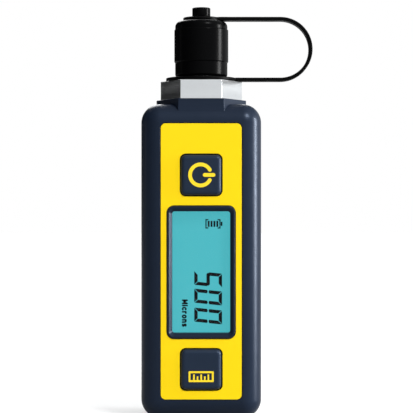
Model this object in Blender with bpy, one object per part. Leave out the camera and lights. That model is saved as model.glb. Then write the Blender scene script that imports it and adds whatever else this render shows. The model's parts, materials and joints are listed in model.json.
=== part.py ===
"""Pocket digital vacuum gauge, modelled as separate pieces.

Frame: +Z up, front face towards -Y, origin on the flat base under the fitting's axis.
Sizes are in metres, written as millimetres times MM.
"""

import bmesh
import bpy
from math import cos, pi, radians, sin
from mathutils import Vector

MM = 0.001

# Overall body
BODY_WIDTH = 32.0 * MM
BODY_HEIGHT = 83.7 * MM
BODY_DEPTH = 24.0 * MM
AXIS_SETBACK = 11.5 * MM        # front face to the fitting's axis
EDGE_RADIUS = 5.0 * MM          # outline corners and front edges
BACK_RADIUS = 3.0 * MM
WALL = 2.2 * MM
BACK_WALL = 4.2 * MM
PARTING_SETBACK = 13.5 * MM     # front face to the parting plane
FIT = 0.3 * MM                  # gap between neighbouring pieces
SNUG = 0.2 * MM                 # gap round the hexagon and the overlay

# Fitting and collar
HEX_FLATS = 19.05 * MM
HEX_HEIGHT = 7.94 * MM
HEX_SEAT_BELOW_TOP = 1.8 * MM   # body top to the floor of the hexagonal pocket
COLLAR_WALL = 0.82 * MM
COLLAR_RISE = 1.38 * MM         # collar rim above the body top
SHANK_RADIUS = 6.2 * MM
SHANK_LENGTH = 8.2 * MM
THREAD_RADIUS = 5.55 * MM       # 7/16-20 flare thread
THREAD_LENGTH = 10.4 * MM
NECK_RADIUS = 4.8 * MM
NECK_LENGTH = 1.4 * MM
NOSE_LENGTH = 1.8 * MM
NOSE_RADIUS = 3.4 * MM
PORT_RADIUS = 2.4 * MM
CHAMBER_RADIUS = 4.6 * MM
BOSS_HALF_WIDTH = 12.0 * MM
BOSS_THICKNESS = 3.4 * MM       # seat of the fitting, body material under the hexagon
NUT_RADIUS = 7.9 * MM
NUT_HEIGHT = 3.0 * MM
ORING_RADIUS = 8.15 * MM
ORING_SECTION = 0.5 * MM

# Vacuum sensor
HEADER_HEIGHT = 2.0 * MM
PIN_RADIUS = 0.3 * MM
PIN_CIRCLE = 2.6 * MM
PIN_ABOVE_HEADER = 2.7 * MM
SENSOR_BOARD_RADIUS = 6.2 * MM
SENSOR_BOARD_THICKNESS = 1.0 * MM

# Cap and strap
CAP_RADIUS = 7.08 * MM
CAP_BAND_RADIUS = 7.31 * MM
CAP_HEIGHT = 15.15 * MM
CAP_BAND_START = 4.1 * MM
CAP_BAND_LENGTH = 8.6 * MM
CAP_SHOULDER = 1.6 * MM
CAP_ROOF = 1.5 * MM
CAP_GASKET = 0.75 * MM
KNOB_RADIUS = 2.455 * MM
KNOB_RISE = 3.65 * MM
KNOB_GROOVE_DEPTH = 0.4 * MM
STRAP_THICKNESS = 0.76 * MM
STRAP_WIDTH = 4.0 * MM
STRAP_LIFT = 0.2 * MM           # gap under each strap ring
LOWER_RING_RADIUS = 9.55 * MM
UPPER_RING_RADIUS = 4.9 * MM
STRAP_REACH = 21.4 * MM         # axis to the centre of the loop's half circle

# Face
OVERLAY_WIDTH = 21.4 * MM
OVERLAY_HEIGHT = 73.0 * MM
OVERLAY_RADIUS = 1.3 * MM
OVERLAY_THICKNESS = 0.25 * MM
KEY_SIZE = 10.7 * MM
KEY_CORNER = 1.3 * MM
KEY_RISE = 1.0 * MM             # key face proud of the body face
KEY_EDGE = 1.0 * MM
KEY_FLANGE = 0.95 * MM          # key flange beyond the key's sides
KEY_TRAVEL = 0.6 * MM
POWER_BELOW_TOP = 19.0 * MM
UNITS_ABOVE_BASE = 13.3 * MM
SKIRT_WALL = 0.5 * MM

# Display
DISPLAY_ABOVE_BASE = 39.0 * MM
RIM_WIDTH = 18.0 * MM
RIM_HEIGHT = 35.0 * MM
RIM_CORNER = 1.85 * MM
RIM_RISE = 0.4 * MM
RIM_LAND = 0.5 * MM
VIEW_WIDTH = 15.3 * MM
VIEW_HEIGHT = 32.1 * MM
VIEW_CORNER = 0.6 * MM
WINDOW_THICKNESS = 0.8 * MM
PANEL_THICKNESS = 1.8 * MM
LIGHT_THICKNESS = 1.2 * MM
GLASS_BORDER = 1.2 * MM

# Board and cells
BOARD_THICKNESS = 1.2 * MM
BOARD_WIDTH = 25.8 * MM
SWITCH_SIZE = 4.5 * MM
SWITCH_HEIGHT = 1.6 * MM
PLUNGER_RADIUS = 1.0 * MM
CELL_RADIUS = 5.25 * MM
CELL_LENGTH = 44.5 * MM
CELL_NUB = 1.0 * MM
CELL_SPACING = 0.5 * MM
SPRING_LENGTH = 3.0 * MM
SPRING_WIRE = 0.25 * MM
CONTACT_THICKNESS = 0.4 * MM
TRAY_WALL = 1.0 * MM
TRAY_BEHIND_BOARD = 1.2 * MM
POST_RADIUS = 1.3 * MM

# Battery door
DOOR_WIDTH = 25.0 * MM
DOOR_THICKNESS = 2.0 * MM
DOOR_OVERLAP = 1.1 * MM         # door beyond the cell opening, at the bottom
DOOR_CORNER = 2.0 * MM
DOOR_SEAL_THICKNESS = 0.8 * MM
DOOR_SCREW_RADIUS = 1.0 * MM
DOOR_SCREW_HEAD = 2.1 * MM
DOOR_BOSS_RADIUS = 3.2 * MM

# Housing screws
SCREW_SPREAD = 11.5 * MM
SCREW_ABOVE_BASE = 4.6 * MM
SCREW_BELOW_TOP = 11.4 * MM
SCREW_RADIUS = 0.9 * MM
SCREW_HEAD = 1.8 * MM
SCREW_HEAD_DEPTH = 0.5 * MM     # head below the back face
SCREW_HEAD_HEIGHT = 1.1 * MM
SCREW_BOSS = 2.5 * MM

# Cord seal in the parting line
SEAL_INSET = 1.1 * MM
SEAL_WIDTH = 0.6 * MM
SEAL_HALF_DEPTH = 1.0 * MM

# Fineness of curved surfaces
CORNER_STEPS = 6
EDGE_STEPS = 5
TURN_STEPS = 36

# Planes that follow from the sizes above
FRONT = -AXIS_SETBACK
BACK = FRONT + BODY_DEPTH
PARTING = FRONT + PARTING_SETBACK
INNER_SIDE = BODY_WIDTH / 2 - WALL
INNER_FRONT = FRONT + WALL
INNER_BACK = BACK - BACK_WALL
INNER_TOP = BODY_HEIGHT - WALL
BODY_MIDDLE = BODY_HEIGHT / 2
POWER_Z = BODY_HEIGHT - POWER_BELOW_TOP
UNITS_Z = UNITS_ABOVE_BASE
UPPER_SCREW_Z = BODY_HEIGHT - SCREW_BELOW_TOP

POCKET_FLOOR = BODY_HEIGHT - HEX_SEAT_BELOW_TOP
COLLAR_TOP = BODY_HEIGHT + COLLAR_RISE
HEX_BOTTOM = POCKET_FLOOR + FIT
HEX_TOP = HEX_BOTTOM + HEX_HEIGHT
BOSS_BOTTOM = POCKET_FLOOR - BOSS_THICKNESS
SEAL_END = BOSS_BOTTOM - 2 * FIT
NUT_TOP = BOSS_BOTTOM - FIT
NUT_BOTTOM = NUT_TOP - NUT_HEIGHT
SHANK_BOTTOM = HEX_BOTTOM - SHANK_LENGTH
THREAD_BOTTOM = HEX_TOP + NECK_LENGTH
THREAD_TOP = THREAD_BOTTOM + THREAD_LENGTH
NOSE_TOP = THREAD_TOP + NOSE_LENGTH
HEADER_BOTTOM = SHANK_BOTTOM + FIT
HEADER_TOP = HEADER_BOTTOM + HEADER_HEIGHT
PIN_TOP = HEADER_TOP + PIN_ABOVE_HEADER
SENSOR_BOARD_TOP = SHANK_BOTTOM - 0.7 * MM
SENSOR_BOARD_BOTTOM = SENSOR_BOARD_TOP - SENSOR_BOARD_THICKNESS
PIN_BOTTOM = SENSOR_BOARD_BOTTOM - 0.4 * MM

LOWER_RING_Z = HEX_TOP + STRAP_LIFT
CAP_BOTTOM = LOWER_RING_Z + STRAP_THICKNESS + FIT
CAP_TOP = CAP_BOTTOM + CAP_HEIGHT
UPPER_RING_Z = CAP_TOP + STRAP_LIFT
KNOB_TOP = CAP_TOP + KNOB_RISE
CAP_BORE = THREAD_RADIUS + FIT
GASKET_TOP = CAP_TOP - CAP_ROOF - FIT
GASKET_BOTTOM = GASKET_TOP - CAP_GASKET

WINDOW_FRONT = INNER_FRONT + FIT
PANEL_FRONT = WINDOW_FRONT + WINDOW_THICKNESS + FIT
LIGHT_FRONT = PANEL_FRONT + PANEL_THICKNESS + FIT
BOARD_FRONT = LIGHT_FRONT + LIGHT_THICKNESS + FIT
BOARD_BACK = BOARD_FRONT + BOARD_THICKNESS
BOARD_BOTTOM = SCREW_ABOVE_BASE + SCREW_BOSS + FIT
BOARD_TOP = UPPER_SCREW_Z - SCREW_BOSS - FIT
GLASS_WIDTH = VIEW_WIDTH + 2 * GLASS_BORDER
GLASS_HEIGHT = VIEW_HEIGHT + 2 * GLASS_BORDER
GLASS_BOTTOM = DISPLAY_ABOVE_BASE - GLASS_HEIGHT / 2

KEY_FACE = FRONT - KEY_RISE
KEY_FLANGE_FRONT = INNER_FRONT + FIT
KEY_FLANGE_BACK = KEY_FLANGE_FRONT + 0.9 * MM
SWITCH_BACK = BOARD_FRONT - FIT
SWITCH_FRONT = SWITCH_BACK - SWITCH_HEIGHT
PLUNGER_FRONT = SWITCH_FRONT - 1.2 * MM
KEY_NUB_BACK = PLUNGER_FRONT - FIT
SKIRT_INNER = KEY_SIZE + 2 * KEY_FLANGE + 2 * FIT
SKIRT_OUTER = SKIRT_INNER + 2 * SKIRT_WALL

TRAY_FRONT = BOARD_BACK + TRAY_BEHIND_BOARD
TRAY_FLOOR = TRAY_FRONT + TRAY_WALL
TRAY_BACK = INNER_BACK - FIT
CELL_Y = TRAY_FLOOR + FIT + CELL_RADIUS
CELL_X = CELL_RADIUS + CELL_SPACING / 2
TRAY_INNER_SIDE = CELL_X + CELL_RADIUS + FIT
TRAY_BOTTOM = BOARD_BOTTOM + FIT
TRAY_INNER_BOTTOM = TRAY_BOTTOM + TRAY_WALL
LOWER_CONTACT_TOP = TRAY_INNER_BOTTOM + FIT + CONTACT_THICKNESS
CELL_STACK = CELL_LENGTH + SPRING_LENGTH + 3 * FIT
UPPER_CONTACT_BOTTOM = LOWER_CONTACT_TOP + CELL_STACK
TRAY_INNER_TOP = UPPER_CONTACT_BOTTOM + CONTACT_THICKNESS + FIT
TRAY_TOP = TRAY_INNER_TOP + TRAY_WALL

DOOR_INNER = BACK - DOOR_THICKNESS
DOOR_LEDGE = DOOR_INNER - DOOR_SEAL_THICKNESS - 2 * FIT
DOOR_BOTTOM = TRAY_INNER_BOTTOM - DOOR_OVERLAP
DOOR_SCREW_Z = TRAY_INNER_TOP + 1.7 * MM + DOOR_BOSS_RADIUS + FIT
DOOR_TOP = DOOR_SCREW_Z + DOOR_BOSS_RADIUS + FIT
DOOR_BOSS_FRONT = DOOR_LEDGE + FIT
DOOR_BORE_FLOOR = BACK - 1.8 * MM
WASHER_FRONT = DOOR_BORE_FLOOR + FIT
WASHER_BACK = WASHER_FRONT + 0.3 * MM
DOOR_HEAD_FRONT = WASHER_BACK + FIT
DOOR_HEAD_BACK = BACK - 0.1 * MM
DOOR_SCREW_TIP = INNER_BACK - 3.0 * MM
WIRE_STEPS = 12


# ---------------------------------------------------------------- shapes

def skin(rings, closed=False):
    """Shell through rings of equal length, capped unless it closes on itself."""
    count = len(rings[0])
    points = [point for ring in rings for point in ring]
    faces = []
    last = len(rings) if closed else len(rings) - 1
    for k in range(last):
        here = k * count
        there = ((k + 1) % len(rings)) * count
        for i in range(count):
            j = (i + 1) % count
            faces.append((here + i, here + j, there + j, there + i))
    if not closed:
        faces.append(tuple(range(count)))
        faces.append(tuple(range(len(points) - count, len(points))))
    return points, faces


def outline(width, height, corner, steps=CORNER_STEPS):
    """Rounded rectangle about the origin as (x, z) pairs."""
    half_x = width / 2 - corner
    half_z = height / 2 - corner
    points = []
    for quarter, (sx, sz) in enumerate(((1, 1), (-1, 1), (-1, -1), (1, -1))):
        for step in range(steps + 1):
            turn = (quarter + step / steps) * pi / 2
            points.append((sx * half_x + corner * cos(turn), sz * half_z + corner * sin(turn)))
    return points


def slab(sections, centre=(0.0, 0.0), steps=CORNER_STEPS):
    """Rounded rectangles (y, width, height, corner) joined front to back."""
    rings = []
    for y, width, height, corner in sections:
        flat = outline(width, height, corner, steps)
        rings.append([(centre[0] + x, y, centre[1] + z) for x, z in flat])
    return skin(rings)


def plate(width, height, corner, front, back, centre_z, steps=3):
    """Rounded plate lying in the XZ plane."""
    sections = [(front, width, height, corner), (back, width, height, corner)]
    return slab(sections, (0.0, centre_z), steps)


def block(low, high):
    """Plain box between two corners."""
    rings = []
    for z in (low[2], high[2]):
        rings.append([(low[0], low[1], z), (high[0], low[1], z),
                      (high[0], high[1], z), (low[0], high[1], z)])
    return skin(rings)


def turned(profile, centre, axis="Z", closed=False, steps=TURN_STEPS):
    """Solid of revolution from (radius, height) pairs along Z or Y."""
    rings = []
    for radius, height in profile:
        ring = []
        for step in range(steps):
            turn = 2 * pi * step / steps
            a, b = radius * cos(turn), radius * sin(turn)
            place = (a, b, height) if axis == "Z" else (a, height, b)
            ring.append(tuple(centre[k] + place[k] for k in range(3)))
        rings.append(ring)
    return skin(rings, closed)


def rod(radius, start, end, centre, axis="Z", steps=TURN_STEPS):
    """Plain cylinder from start to end along its axis."""
    return turned([(radius, start), (radius, end)], centre, axis, steps=steps)


def hollow_rod(inner, outer, start, end, centre, axis="Z", steps=TURN_STEPS):
    """Plain ring from start to end along its axis."""
    profile = [(inner, start), (outer, start), (outer, end), (inner, end)]
    return turned(profile, centre, axis, closed=True, steps=steps)


def hexagon(flats):
    """Corners of a hexagon with a flat facing the front."""
    radius = flats / (2 * cos(pi / 6))
    return [(radius * cos(k * pi / 3), radius * sin(k * pi / 3)) for k in range(6)]


def prism(points, bottom, top):
    """Upright prism over an (x, y) polygon."""
    return skin([[(x, y, z) for x, y in points] for z in (bottom, top)])


def rounding(radius, steps=EDGE_STEPS):
    """(inset, depth) pairs of a quarter round, from the face to the side."""
    pairs = []
    for step in range(steps + 1):
        turn = step / steps * pi / 2
        pairs.append((radius * (1 - sin(turn)), radius * (1 - cos(turn))))
    return pairs


def coil(radii, turns, bottom, top, centre, wire):
    """Round wire wound into a tapering spring with flat cut ends."""
    rings = []
    count = turns * WIRE_STEPS
    for step in range(count + 1):
        share = step / count
        turn = 2 * pi * turns * share
        radius = radii[0] + (radii[1] - radii[0]) * share
        height = bottom + wire + (top - bottom - 2 * wire) * share
        ring = []
        for side in range(6):
            around = 2 * pi * side / 6
            out = radius + wire * cos(around)
            ring.append((centre[0] + out * cos(turn), centre[1] + out * sin(turn),
                         height + wire * sin(around)))
        rings.append(ring)
    return skin(rings)


def u_path(inset, end_z):
    """Body outline moved inwards, open above the height end_z."""
    corner = EDGE_RADIUS - inset
    flat = outline(BODY_WIDTH - 2 * inset, BODY_HEIGHT - 2 * inset, corner)
    side = BODY_WIDTH / 2 - inset
    top = end_z - BODY_MIDDLE
    return [(-side, top)] + flat[2 * (CORNER_STEPS + 1):] + [(side, top)]


def u_strip(outer_inset, inner_inset, end_z, front, back):
    """Rectangular strip down one side of the body, along its base and up the other."""
    rings = []
    for (ox, oz), (ix, iz) in zip(u_path(outer_inset, end_z), u_path(inner_inset, end_z)):
        rings.append([(ox, front, BODY_MIDDLE + oz), (ox, back, BODY_MIDDLE + oz),
                      (ix, back, BODY_MIDDLE + iz), (ix, front, BODY_MIDDLE + iz)])
    return skin(rings)


# ---------------------------------------------------------------- objects

def clear_scene():
    for item in list(bpy.data.objects):
        bpy.data.objects.remove(item, do_unlink=True)


def finish(name, colour, roughness, metallic=0.0, alpha=1.0):
    """Principled material."""
    material = bpy.data.materials.new(name)
    material.use_nodes = True
    shader = material.node_tree.nodes["Principled BSDF"]
    shader.inputs["Base Color"].default_value = (*colour, 1.0)
    shader.inputs["Roughness"].default_value = roughness
    shader.inputs["Metallic"].default_value = metallic
    shader.inputs["Alpha"].default_value = alpha
    return material


def solid(name, shells, material=None, origin=(0.0, 0.0, 0.0)):
    """One mesh object from closed shells, with its own origin."""
    mesh = bpy.data.meshes.new(name)
    bm = bmesh.new()
    start = Vector(origin)
    for points, faces in shells:
        corners = [bm.verts.new(Vector(point) - start) for point in points]
        made = [bm.faces.new([corners[k] for k in face]) for face in faces]
        bmesh.ops.recalc_face_normals(bm, faces=made)
    bm.to_mesh(mesh)
    bm.free()
    mesh.shade_smooth()
    mesh.set_sharp_from_angle(angle=radians(30))
    item = bpy.data.objects.new(name, mesh)
    item.location = start
    if material:
        mesh.materials.append(material)
    bpy.context.scene.collection.objects.link(item)
    return item


def hide(tool):
    """Mark a cutter so that it is only a guide."""
    tool.hide_render = True
    tool.display_type = "WIRE"


def boolean(item, operation, tool):
    """Join or cut with an exact Boolean that stays live."""
    hide(tool)
    modifier = item.modifiers.new(operation.title(), "BOOLEAN")
    modifier.operation = operation
    modifier.solver = "EXACT"
    modifier.object = tool


def join(item, *shells):
    boolean(item, "UNION", solid(f"{item.name}_join_{len(item.modifiers)}", shells))


def cut(item, *shells):
    boolean(item, "DIFFERENCE", solid(f"{item.name}_cut_{len(item.modifiers)}", shells))


def carry(child, parent):
    """Parent a piece and keep it where it is."""
    child.parent = parent
    child.location = Vector(child.location) - Vector(parent.location)


# ---------------------------------------------------------------- housing

def body_shell():
    """Outer surface of both halves, front face to back face."""
    sections = []
    for inset, depth in rounding(EDGE_RADIUS):
        corner = max(EDGE_RADIUS - inset, 0.2 * MM)
        sections.append((FRONT + depth, BODY_WIDTH - 2 * inset, BODY_HEIGHT - 2 * inset, corner))
    for inset, depth in reversed(rounding(BACK_RADIUS)):
        sections.append((BACK - depth, BODY_WIDTH - 2 * inset, BODY_HEIGHT - 2 * inset,
                         EDGE_RADIUS - inset))
    return slab(sections, (0.0, BODY_MIDDLE))


def collar():
    """Hexagonal rim that hides the foot of the fitting."""
    ring = hexagon(HEX_FLATS + 2 * SNUG + 2 * COLLAR_WALL)
    return prism(ring, BODY_HEIGHT - EDGE_RADIUS, COLLAR_TOP)


def far_half(side):
    """Block over everything beyond the parting plane."""
    near, far = sorted((PARTING + side * FIT / 2, PARTING - side * 2 * BODY_DEPTH))
    return block((-BODY_WIDTH, near, -BODY_WIDTH), (BODY_WIDTH, far, 2 * BODY_HEIGHT))


def cavity(front, back):
    """Space inside the walls between two planes."""
    bevel = 0.6 * MM
    width = 2 * INNER_SIDE
    height = BODY_HEIGHT - 2 * WALL
    corner = EDGE_RADIUS - WALL
    sections = []
    for y, inset in ((front, bevel), (front + bevel, 0.0), (back - bevel, 0.0), (back, bevel)):
        sections.append((y, width - 2 * inset, height - 2 * inset, corner - inset))
    return slab(sections, (0.0, BODY_MIDDLE))


def hollow(housing, front, back, *posts):
    """Empty a half, leaving the seat of the fitting, the screw bosses and the posts."""
    tool = solid(f"{housing.name}_cavity", [cavity(front, back)])
    seat = block((-BOSS_HALF_WIDTH, front - MM, BOSS_BOTTOM),
                 (BOSS_HALF_WIDTH, back + MM, BODY_HEIGHT))
    bosses = [rod(SCREW_BOSS, front - MM, back + MM, (x, 0, z), "Y", 16)
              for x, z in screw_places()]
    cut(tool, seat, *bosses)
    cut(tool, *posts)
    boolean(housing, "DIFFERENCE", tool)


def seal_groove():
    """Step on the inside of the rim for the cord seal, open towards the cavity."""
    half = SEAL_HALF_DEPTH + FIT
    return u_strip(SEAL_INSET - FIT, WALL + 0.4 * MM, SEAL_END + FIT,
                   PARTING - half, PARTING + half)


def screw_places():
    return [(side * SCREW_SPREAD, z) for z in (UPPER_SCREW_Z, SCREW_ABOVE_BASE)
            for side in (-1, 1)]


def make_room_for_fitting(housing):
    """Pocket for the hexagon and hole for the shank."""
    cut(housing, prism(hexagon(HEX_FLATS + 2 * SNUG), POCKET_FLOOR, COLLAR_TOP + MM))
    cut(housing, rod(SHANK_RADIUS + FIT, BOSS_BOTTOM - MM, POCKET_FLOOR + MM, (0, 0, 0)))


def display_rim():
    sections = []
    for inset, depth in rounding(0.25 * MM, 2):
        sections.append((FRONT - RIM_RISE + depth, RIM_WIDTH - 2 * inset,
                         RIM_HEIGHT - 2 * inset, RIM_CORNER - inset))
    sections.append((FRONT + 1.0 * MM, RIM_WIDTH, RIM_HEIGHT, RIM_CORNER))
    return slab(sections, (0.0, DISPLAY_ABOVE_BASE))


def display_recess():
    """Sloping opening from the rim down to the window."""
    depth = WALL + RIM_RISE
    past = 0.3
    rim = (RIM_WIDTH - 2 * RIM_LAND, RIM_HEIGHT - 2 * RIM_LAND, RIM_CORNER - RIM_LAND)
    view = (VIEW_WIDTH, VIEW_HEIGHT, VIEW_CORNER)
    start = [a + (a - b) * past for a, b in zip(rim, view)]
    end = [b - (a - b) * past for a, b in zip(rim, view)]
    return slab([(FRONT - RIM_RISE - depth * past, *start),
                 (INNER_FRONT + depth * past, *end)], (0.0, DISPLAY_ABOVE_BASE))


def key_hole(centre_z):
    side = KEY_SIZE + 2 * FIT
    return plate(side, side, KEY_CORNER + FIT, FRONT - 2 * MM, INNER_FRONT + MM, centre_z)


def board_posts():
    """Four posts the board is laid on, beside the display."""
    posts = []
    for z in (GLASS_BOTTOM, GLASS_BOTTOM + GLASS_HEIGHT):
        for side in (-1, 1):
            place = (side * (BOARD_WIDTH / 2 - POST_RADIUS), 0, z)
            posts.append(rod(POST_RADIUS, INNER_FRONT - MM, BOARD_FRONT - FIT, place, "Y", 12))
    return posts


def make_front_housing(plastic):
    housing = solid("front_housing", [body_shell()], plastic)
    join(housing, collar())
    cut(housing, plate(OVERLAY_WIDTH + SNUG, OVERLAY_HEIGHT + SNUG, OVERLAY_RADIUS + SNUG / 2,
                       FRONT - MM, FRONT + OVERLAY_THICKNESS + FIT, BODY_MIDDLE))
    join(housing, display_rim())
    cut(housing, far_half(-1))
    hollow(housing, INNER_FRONT, BACK, *board_posts())
    cut(housing, seal_groove())
    cut(housing, display_recess(), key_hole(POWER_Z), key_hole(UNITS_Z))
    holes = [rod(SCREW_RADIUS + FIT, FRONT + 3.5 * MM, PARTING + MM, (x, 0, z), "Y", 12)
             for x, z in screw_places()]
    cut(housing, *holes)
    make_room_for_fitting(housing)


def make_rear_housing(plastic):
    housing = solid("rear_housing", [body_shell()], plastic)
    join(housing, collar())
    cut(housing, far_half(1))
    lug = rod(DOOR_BOSS_RADIUS, DOOR_SCREW_TIP - MM, INNER_BACK + MM, (0, 0, DOOR_SCREW_Z),
              "Y", 20)
    hollow(housing, FRONT, INNER_BACK, lug)
    cut(housing, seal_groove())
    door_height = DOOR_TOP - DOOR_BOTTOM
    door_middle = (DOOR_TOP + DOOR_BOTTOM) / 2
    bay_height = TRAY_INNER_TOP - TRAY_INNER_BOTTOM
    bay_middle = (TRAY_INNER_TOP + TRAY_INNER_BOTTOM) / 2
    cut(housing, plate(DOOR_WIDTH + 2 * FIT, door_height + 2 * FIT, DOOR_CORNER + FIT,
                       DOOR_LEDGE, BACK + MM, door_middle))
    cut(housing, plate(2 * TRAY_INNER_SIDE, bay_height, MM, INNER_BACK - MM,
                       DOOR_LEDGE + MM, bay_middle))
    holes = [rod(DOOR_SCREW_RADIUS + FIT, DOOR_SCREW_TIP - 0.4 * MM, DOOR_LEDGE + MM,
                 (0, 0, DOOR_SCREW_Z), "Y", 16)]
    for x, z in screw_places():
        floor = BACK - SCREW_HEAD_DEPTH - SCREW_HEAD_HEIGHT - FIT
        profile = [(SCREW_RADIUS + FIT, PARTING - MM), (SCREW_RADIUS + FIT, floor),
                   (SCREW_HEAD + FIT, floor), (SCREW_HEAD + FIT, BACK + MM)]
        holes.append(turned(profile, (x, 0, z), "Y", steps=16))
    cut(housing, *holes)
    make_room_for_fitting(housing)


def make_housing_seal(rubber):
    strip = u_strip(SEAL_INSET, SEAL_INSET + SEAL_WIDTH, SEAL_END,
                    PARTING - SEAL_HALF_DEPTH, PARTING + SEAL_HALF_DEPTH)
    solid("housing_seal", [strip], rubber)


def make_housing_screws(steel):
    head_back = BACK - SCREW_HEAD_DEPTH
    head_front = head_back - SCREW_HEAD_HEIGHT
    tip = FRONT + 3.5 * MM + FIT
    for number, (x, z) in enumerate(screw_places(), 1):
        profile = [(SCREW_RADIUS * 0.4, tip), (SCREW_RADIUS, tip + MM), (SCREW_RADIUS, head_front),
                   (SCREW_HEAD, head_front), (SCREW_HEAD, head_back - 0.3 * MM),
                   (SCREW_HEAD - 0.4 * MM, head_back)]
        screw = solid(f"housing_screw_{number}", [turned(profile, (x, 0, z), "Y", steps=16)],
                      steel)
        cut(screw, *driver_slot(x, z, head_back, SCREW_HEAD))


def driver_slot(x, z, head_back, head_radius):
    """Slot for a flat driver in a screw head."""
    half_long = head_radius * 0.7
    half_short = head_radius * 0.16
    return [block((x - half_long, head_back - 0.5 * MM, z - half_short),
                  (x + half_long, head_back + MM, z + half_short))]


# ---------------------------------------------------------------- face

def make_face_overlay(film):
    front = FRONT
    back = FRONT + OVERLAY_THICKNESS
    overlay = solid("face_overlay", [plate(OVERLAY_WIDTH, OVERLAY_HEIGHT, OVERLAY_RADIUS,
                                           front, back, BODY_MIDDLE)], film)
    hole = KEY_SIZE + 2 * FIT
    reach = (front - MM, back + MM)
    cut(overlay,
        plate(hole, hole, KEY_CORNER + FIT, *reach, POWER_Z),
        plate(hole, hole, KEY_CORNER + FIT, *reach, UNITS_Z),
        plate(RIM_WIDTH + 2 * SNUG, RIM_HEIGHT + 2 * SNUG, RIM_CORNER + SNUG, *reach,
              DISPLAY_ABOVE_BASE))


def make_key(name, centre_z, plastic):
    """Square key cap with a retaining flange and a nub behind it."""
    sections = []
    for inset, depth in rounding(KEY_EDGE, 4):
        side = KEY_SIZE - 2 * inset
        sections.append((KEY_FACE + depth, side, side, max(KEY_CORNER - inset, 0.3 * MM)))
    flange = KEY_SIZE + 2 * KEY_FLANGE
    sections += [(KEY_FLANGE_FRONT, KEY_SIZE, KEY_SIZE, KEY_CORNER),
                 (KEY_FLANGE_FRONT, flange, flange, KEY_CORNER),
                 (KEY_FLANGE_BACK, flange, flange, KEY_CORNER)]
    origin = (0.0, KEY_FACE, centre_z)
    key = solid(name, [slab(sections, (0.0, centre_z), 3)], plastic, origin)
    join(key, rod(1.5 * MM, KEY_FLANGE_BACK - 0.3 * MM, KEY_NUB_BACK, (0, 0, centre_z), "Y", 16))
    return key


def make_key_skirt(name, centre_z, rubber):
    """Square silicone frame between the face wall and the board."""
    back = BOARD_FRONT - FIT
    skirt = solid(name, [plate(SKIRT_OUTER, SKIRT_OUTER, KEY_CORNER + SKIRT_WALL,
                               INNER_FRONT + FIT, back, centre_z)], rubber)
    cut(skirt, plate(SKIRT_INNER, SKIRT_INNER, KEY_CORNER, INNER_FRONT - MM, back + MM,
                     centre_z))


def make_switch(name, centre_z, plastic):
    half = SWITCH_SIZE / 2
    body = solid(name, [block((-half, SWITCH_FRONT, centre_z - half),
                              (half, SWITCH_BACK, centre_z + half))], plastic)
    cut(body, rod(PLUNGER_RADIUS + FIT, SWITCH_FRONT - MM, SWITCH_BACK - 0.4 * MM,
                  (0, 0, centre_z), "Y", 16))


def make_plunger(name, centre_z, plastic, key):
    end = SWITCH_BACK - 0.4 * MM - KEY_TRAVEL - 0.2 * MM
    plunger = solid(name, [rod(PLUNGER_RADIUS, PLUNGER_FRONT, end, (0, 0, centre_z), "Y", 16)],
                    plastic, (0.0, PLUNGER_FRONT, centre_z))
    carry(plunger, key)


def make_keys(plastic, rubber, steel):
    for prefix, centre_z in (("power", POWER_Z), ("units", UNITS_Z)):
        key = make_key(f"{prefix}_button", centre_z, plastic)
        make_key_skirt(f"{prefix}_key_skirt", centre_z, rubber)
        make_switch(f"{prefix}_switch", centre_z, steel)
        make_plunger(f"{prefix}_plunger", centre_z, plastic, key)


def make_display(clear, glass, white, rubber):
    layers = (("display_window", WINDOW_FRONT, WINDOW_THICKNESS, clear),
              ("display_panel", PANEL_FRONT, PANEL_THICKNESS, glass))
    for name, front, thickness, material in layers:
        solid(name, [plate(GLASS_WIDTH, GLASS_HEIGHT, 0.5 * MM, front, front + thickness,
                           DISPLAY_ABOVE_BASE)], material)
    half = GLASS_WIDTH / 2
    strip = 2.4 * MM
    top = GLASS_BOTTOM + GLASS_HEIGHT
    back = LIGHT_FRONT + LIGHT_THICKNESS
    solid("display_backlight", [block((-half, LIGHT_FRONT, GLASS_BOTTOM),
                                      (half, back, top - strip - FIT))], white)
    solid("display_connector", [block((-half + MM, LIGHT_FRONT, top - strip),
                                      (half - MM, back, top))], rubber)


# ---------------------------------------------------------------- electronics

def make_board(board, chip, tin):
    half = BOARD_WIDTH / 2
    solid("main_board", [block((-half, BOARD_FRONT, BOARD_BOTTOM),
                               (half, BOARD_BACK, BOARD_TOP))], board)
    base = BOARD_BACK + FIT
    shelf = TRAY_TOP + 0.6 * MM
    parts = (("radio_module", -11.9, -3.9, 0.0, 8.6, 1.5, tin),
             ("processor_chip", 4.0, 10.0, 0.6, 6.0, 1.0, chip),
             ("crystal", 4.4, 7.6, 7.2, 1.5, 0.8, tin),
             ("voltage_regulator", 10.6, 12.4, 0.6, 3.0, 0.9, chip))
    for name, left, right, up, tall, thick, material in parts:
        low = shelf + up * MM
        solid(name, [block((left * MM, base, low),
                           (right * MM, base + thick * MM, low + tall * MM))], material)


def make_sensor_board(board, tin):
    """Disc with a flat in front, behind the space of the keys, and its flex."""
    disc = solid("sensor_board", [rod(SENSOR_BOARD_RADIUS, SENSOR_BOARD_BOTTOM,
                                      SENSOR_BOARD_TOP, (0, 0, 0))], board)
    cut(disc, *[rod(PIN_RADIUS + FIT, SENSOR_BOARD_BOTTOM - MM, SENSOR_BOARD_TOP + MM,
                    place, steps=12) for place in pin_places()])
    cut(disc, block((-SENSOR_BOARD_RADIUS - MM, -SENSOR_BOARD_RADIUS - MM, SENSOR_BOARD_BOTTOM - MM),
                    (SENSOR_BOARD_RADIUS + MM, BOARD_FRONT, SENSOR_BOARD_TOP + MM)))
    front = BOARD_BACK + FIT
    solid("sensor_flex", [block((-3.0 * MM, front, BOARD_TOP - 5.5 * MM),
                                (3.0 * MM, front + 0.3 * MM, SENSOR_BOARD_BOTTOM - FIT))], tin)


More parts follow.
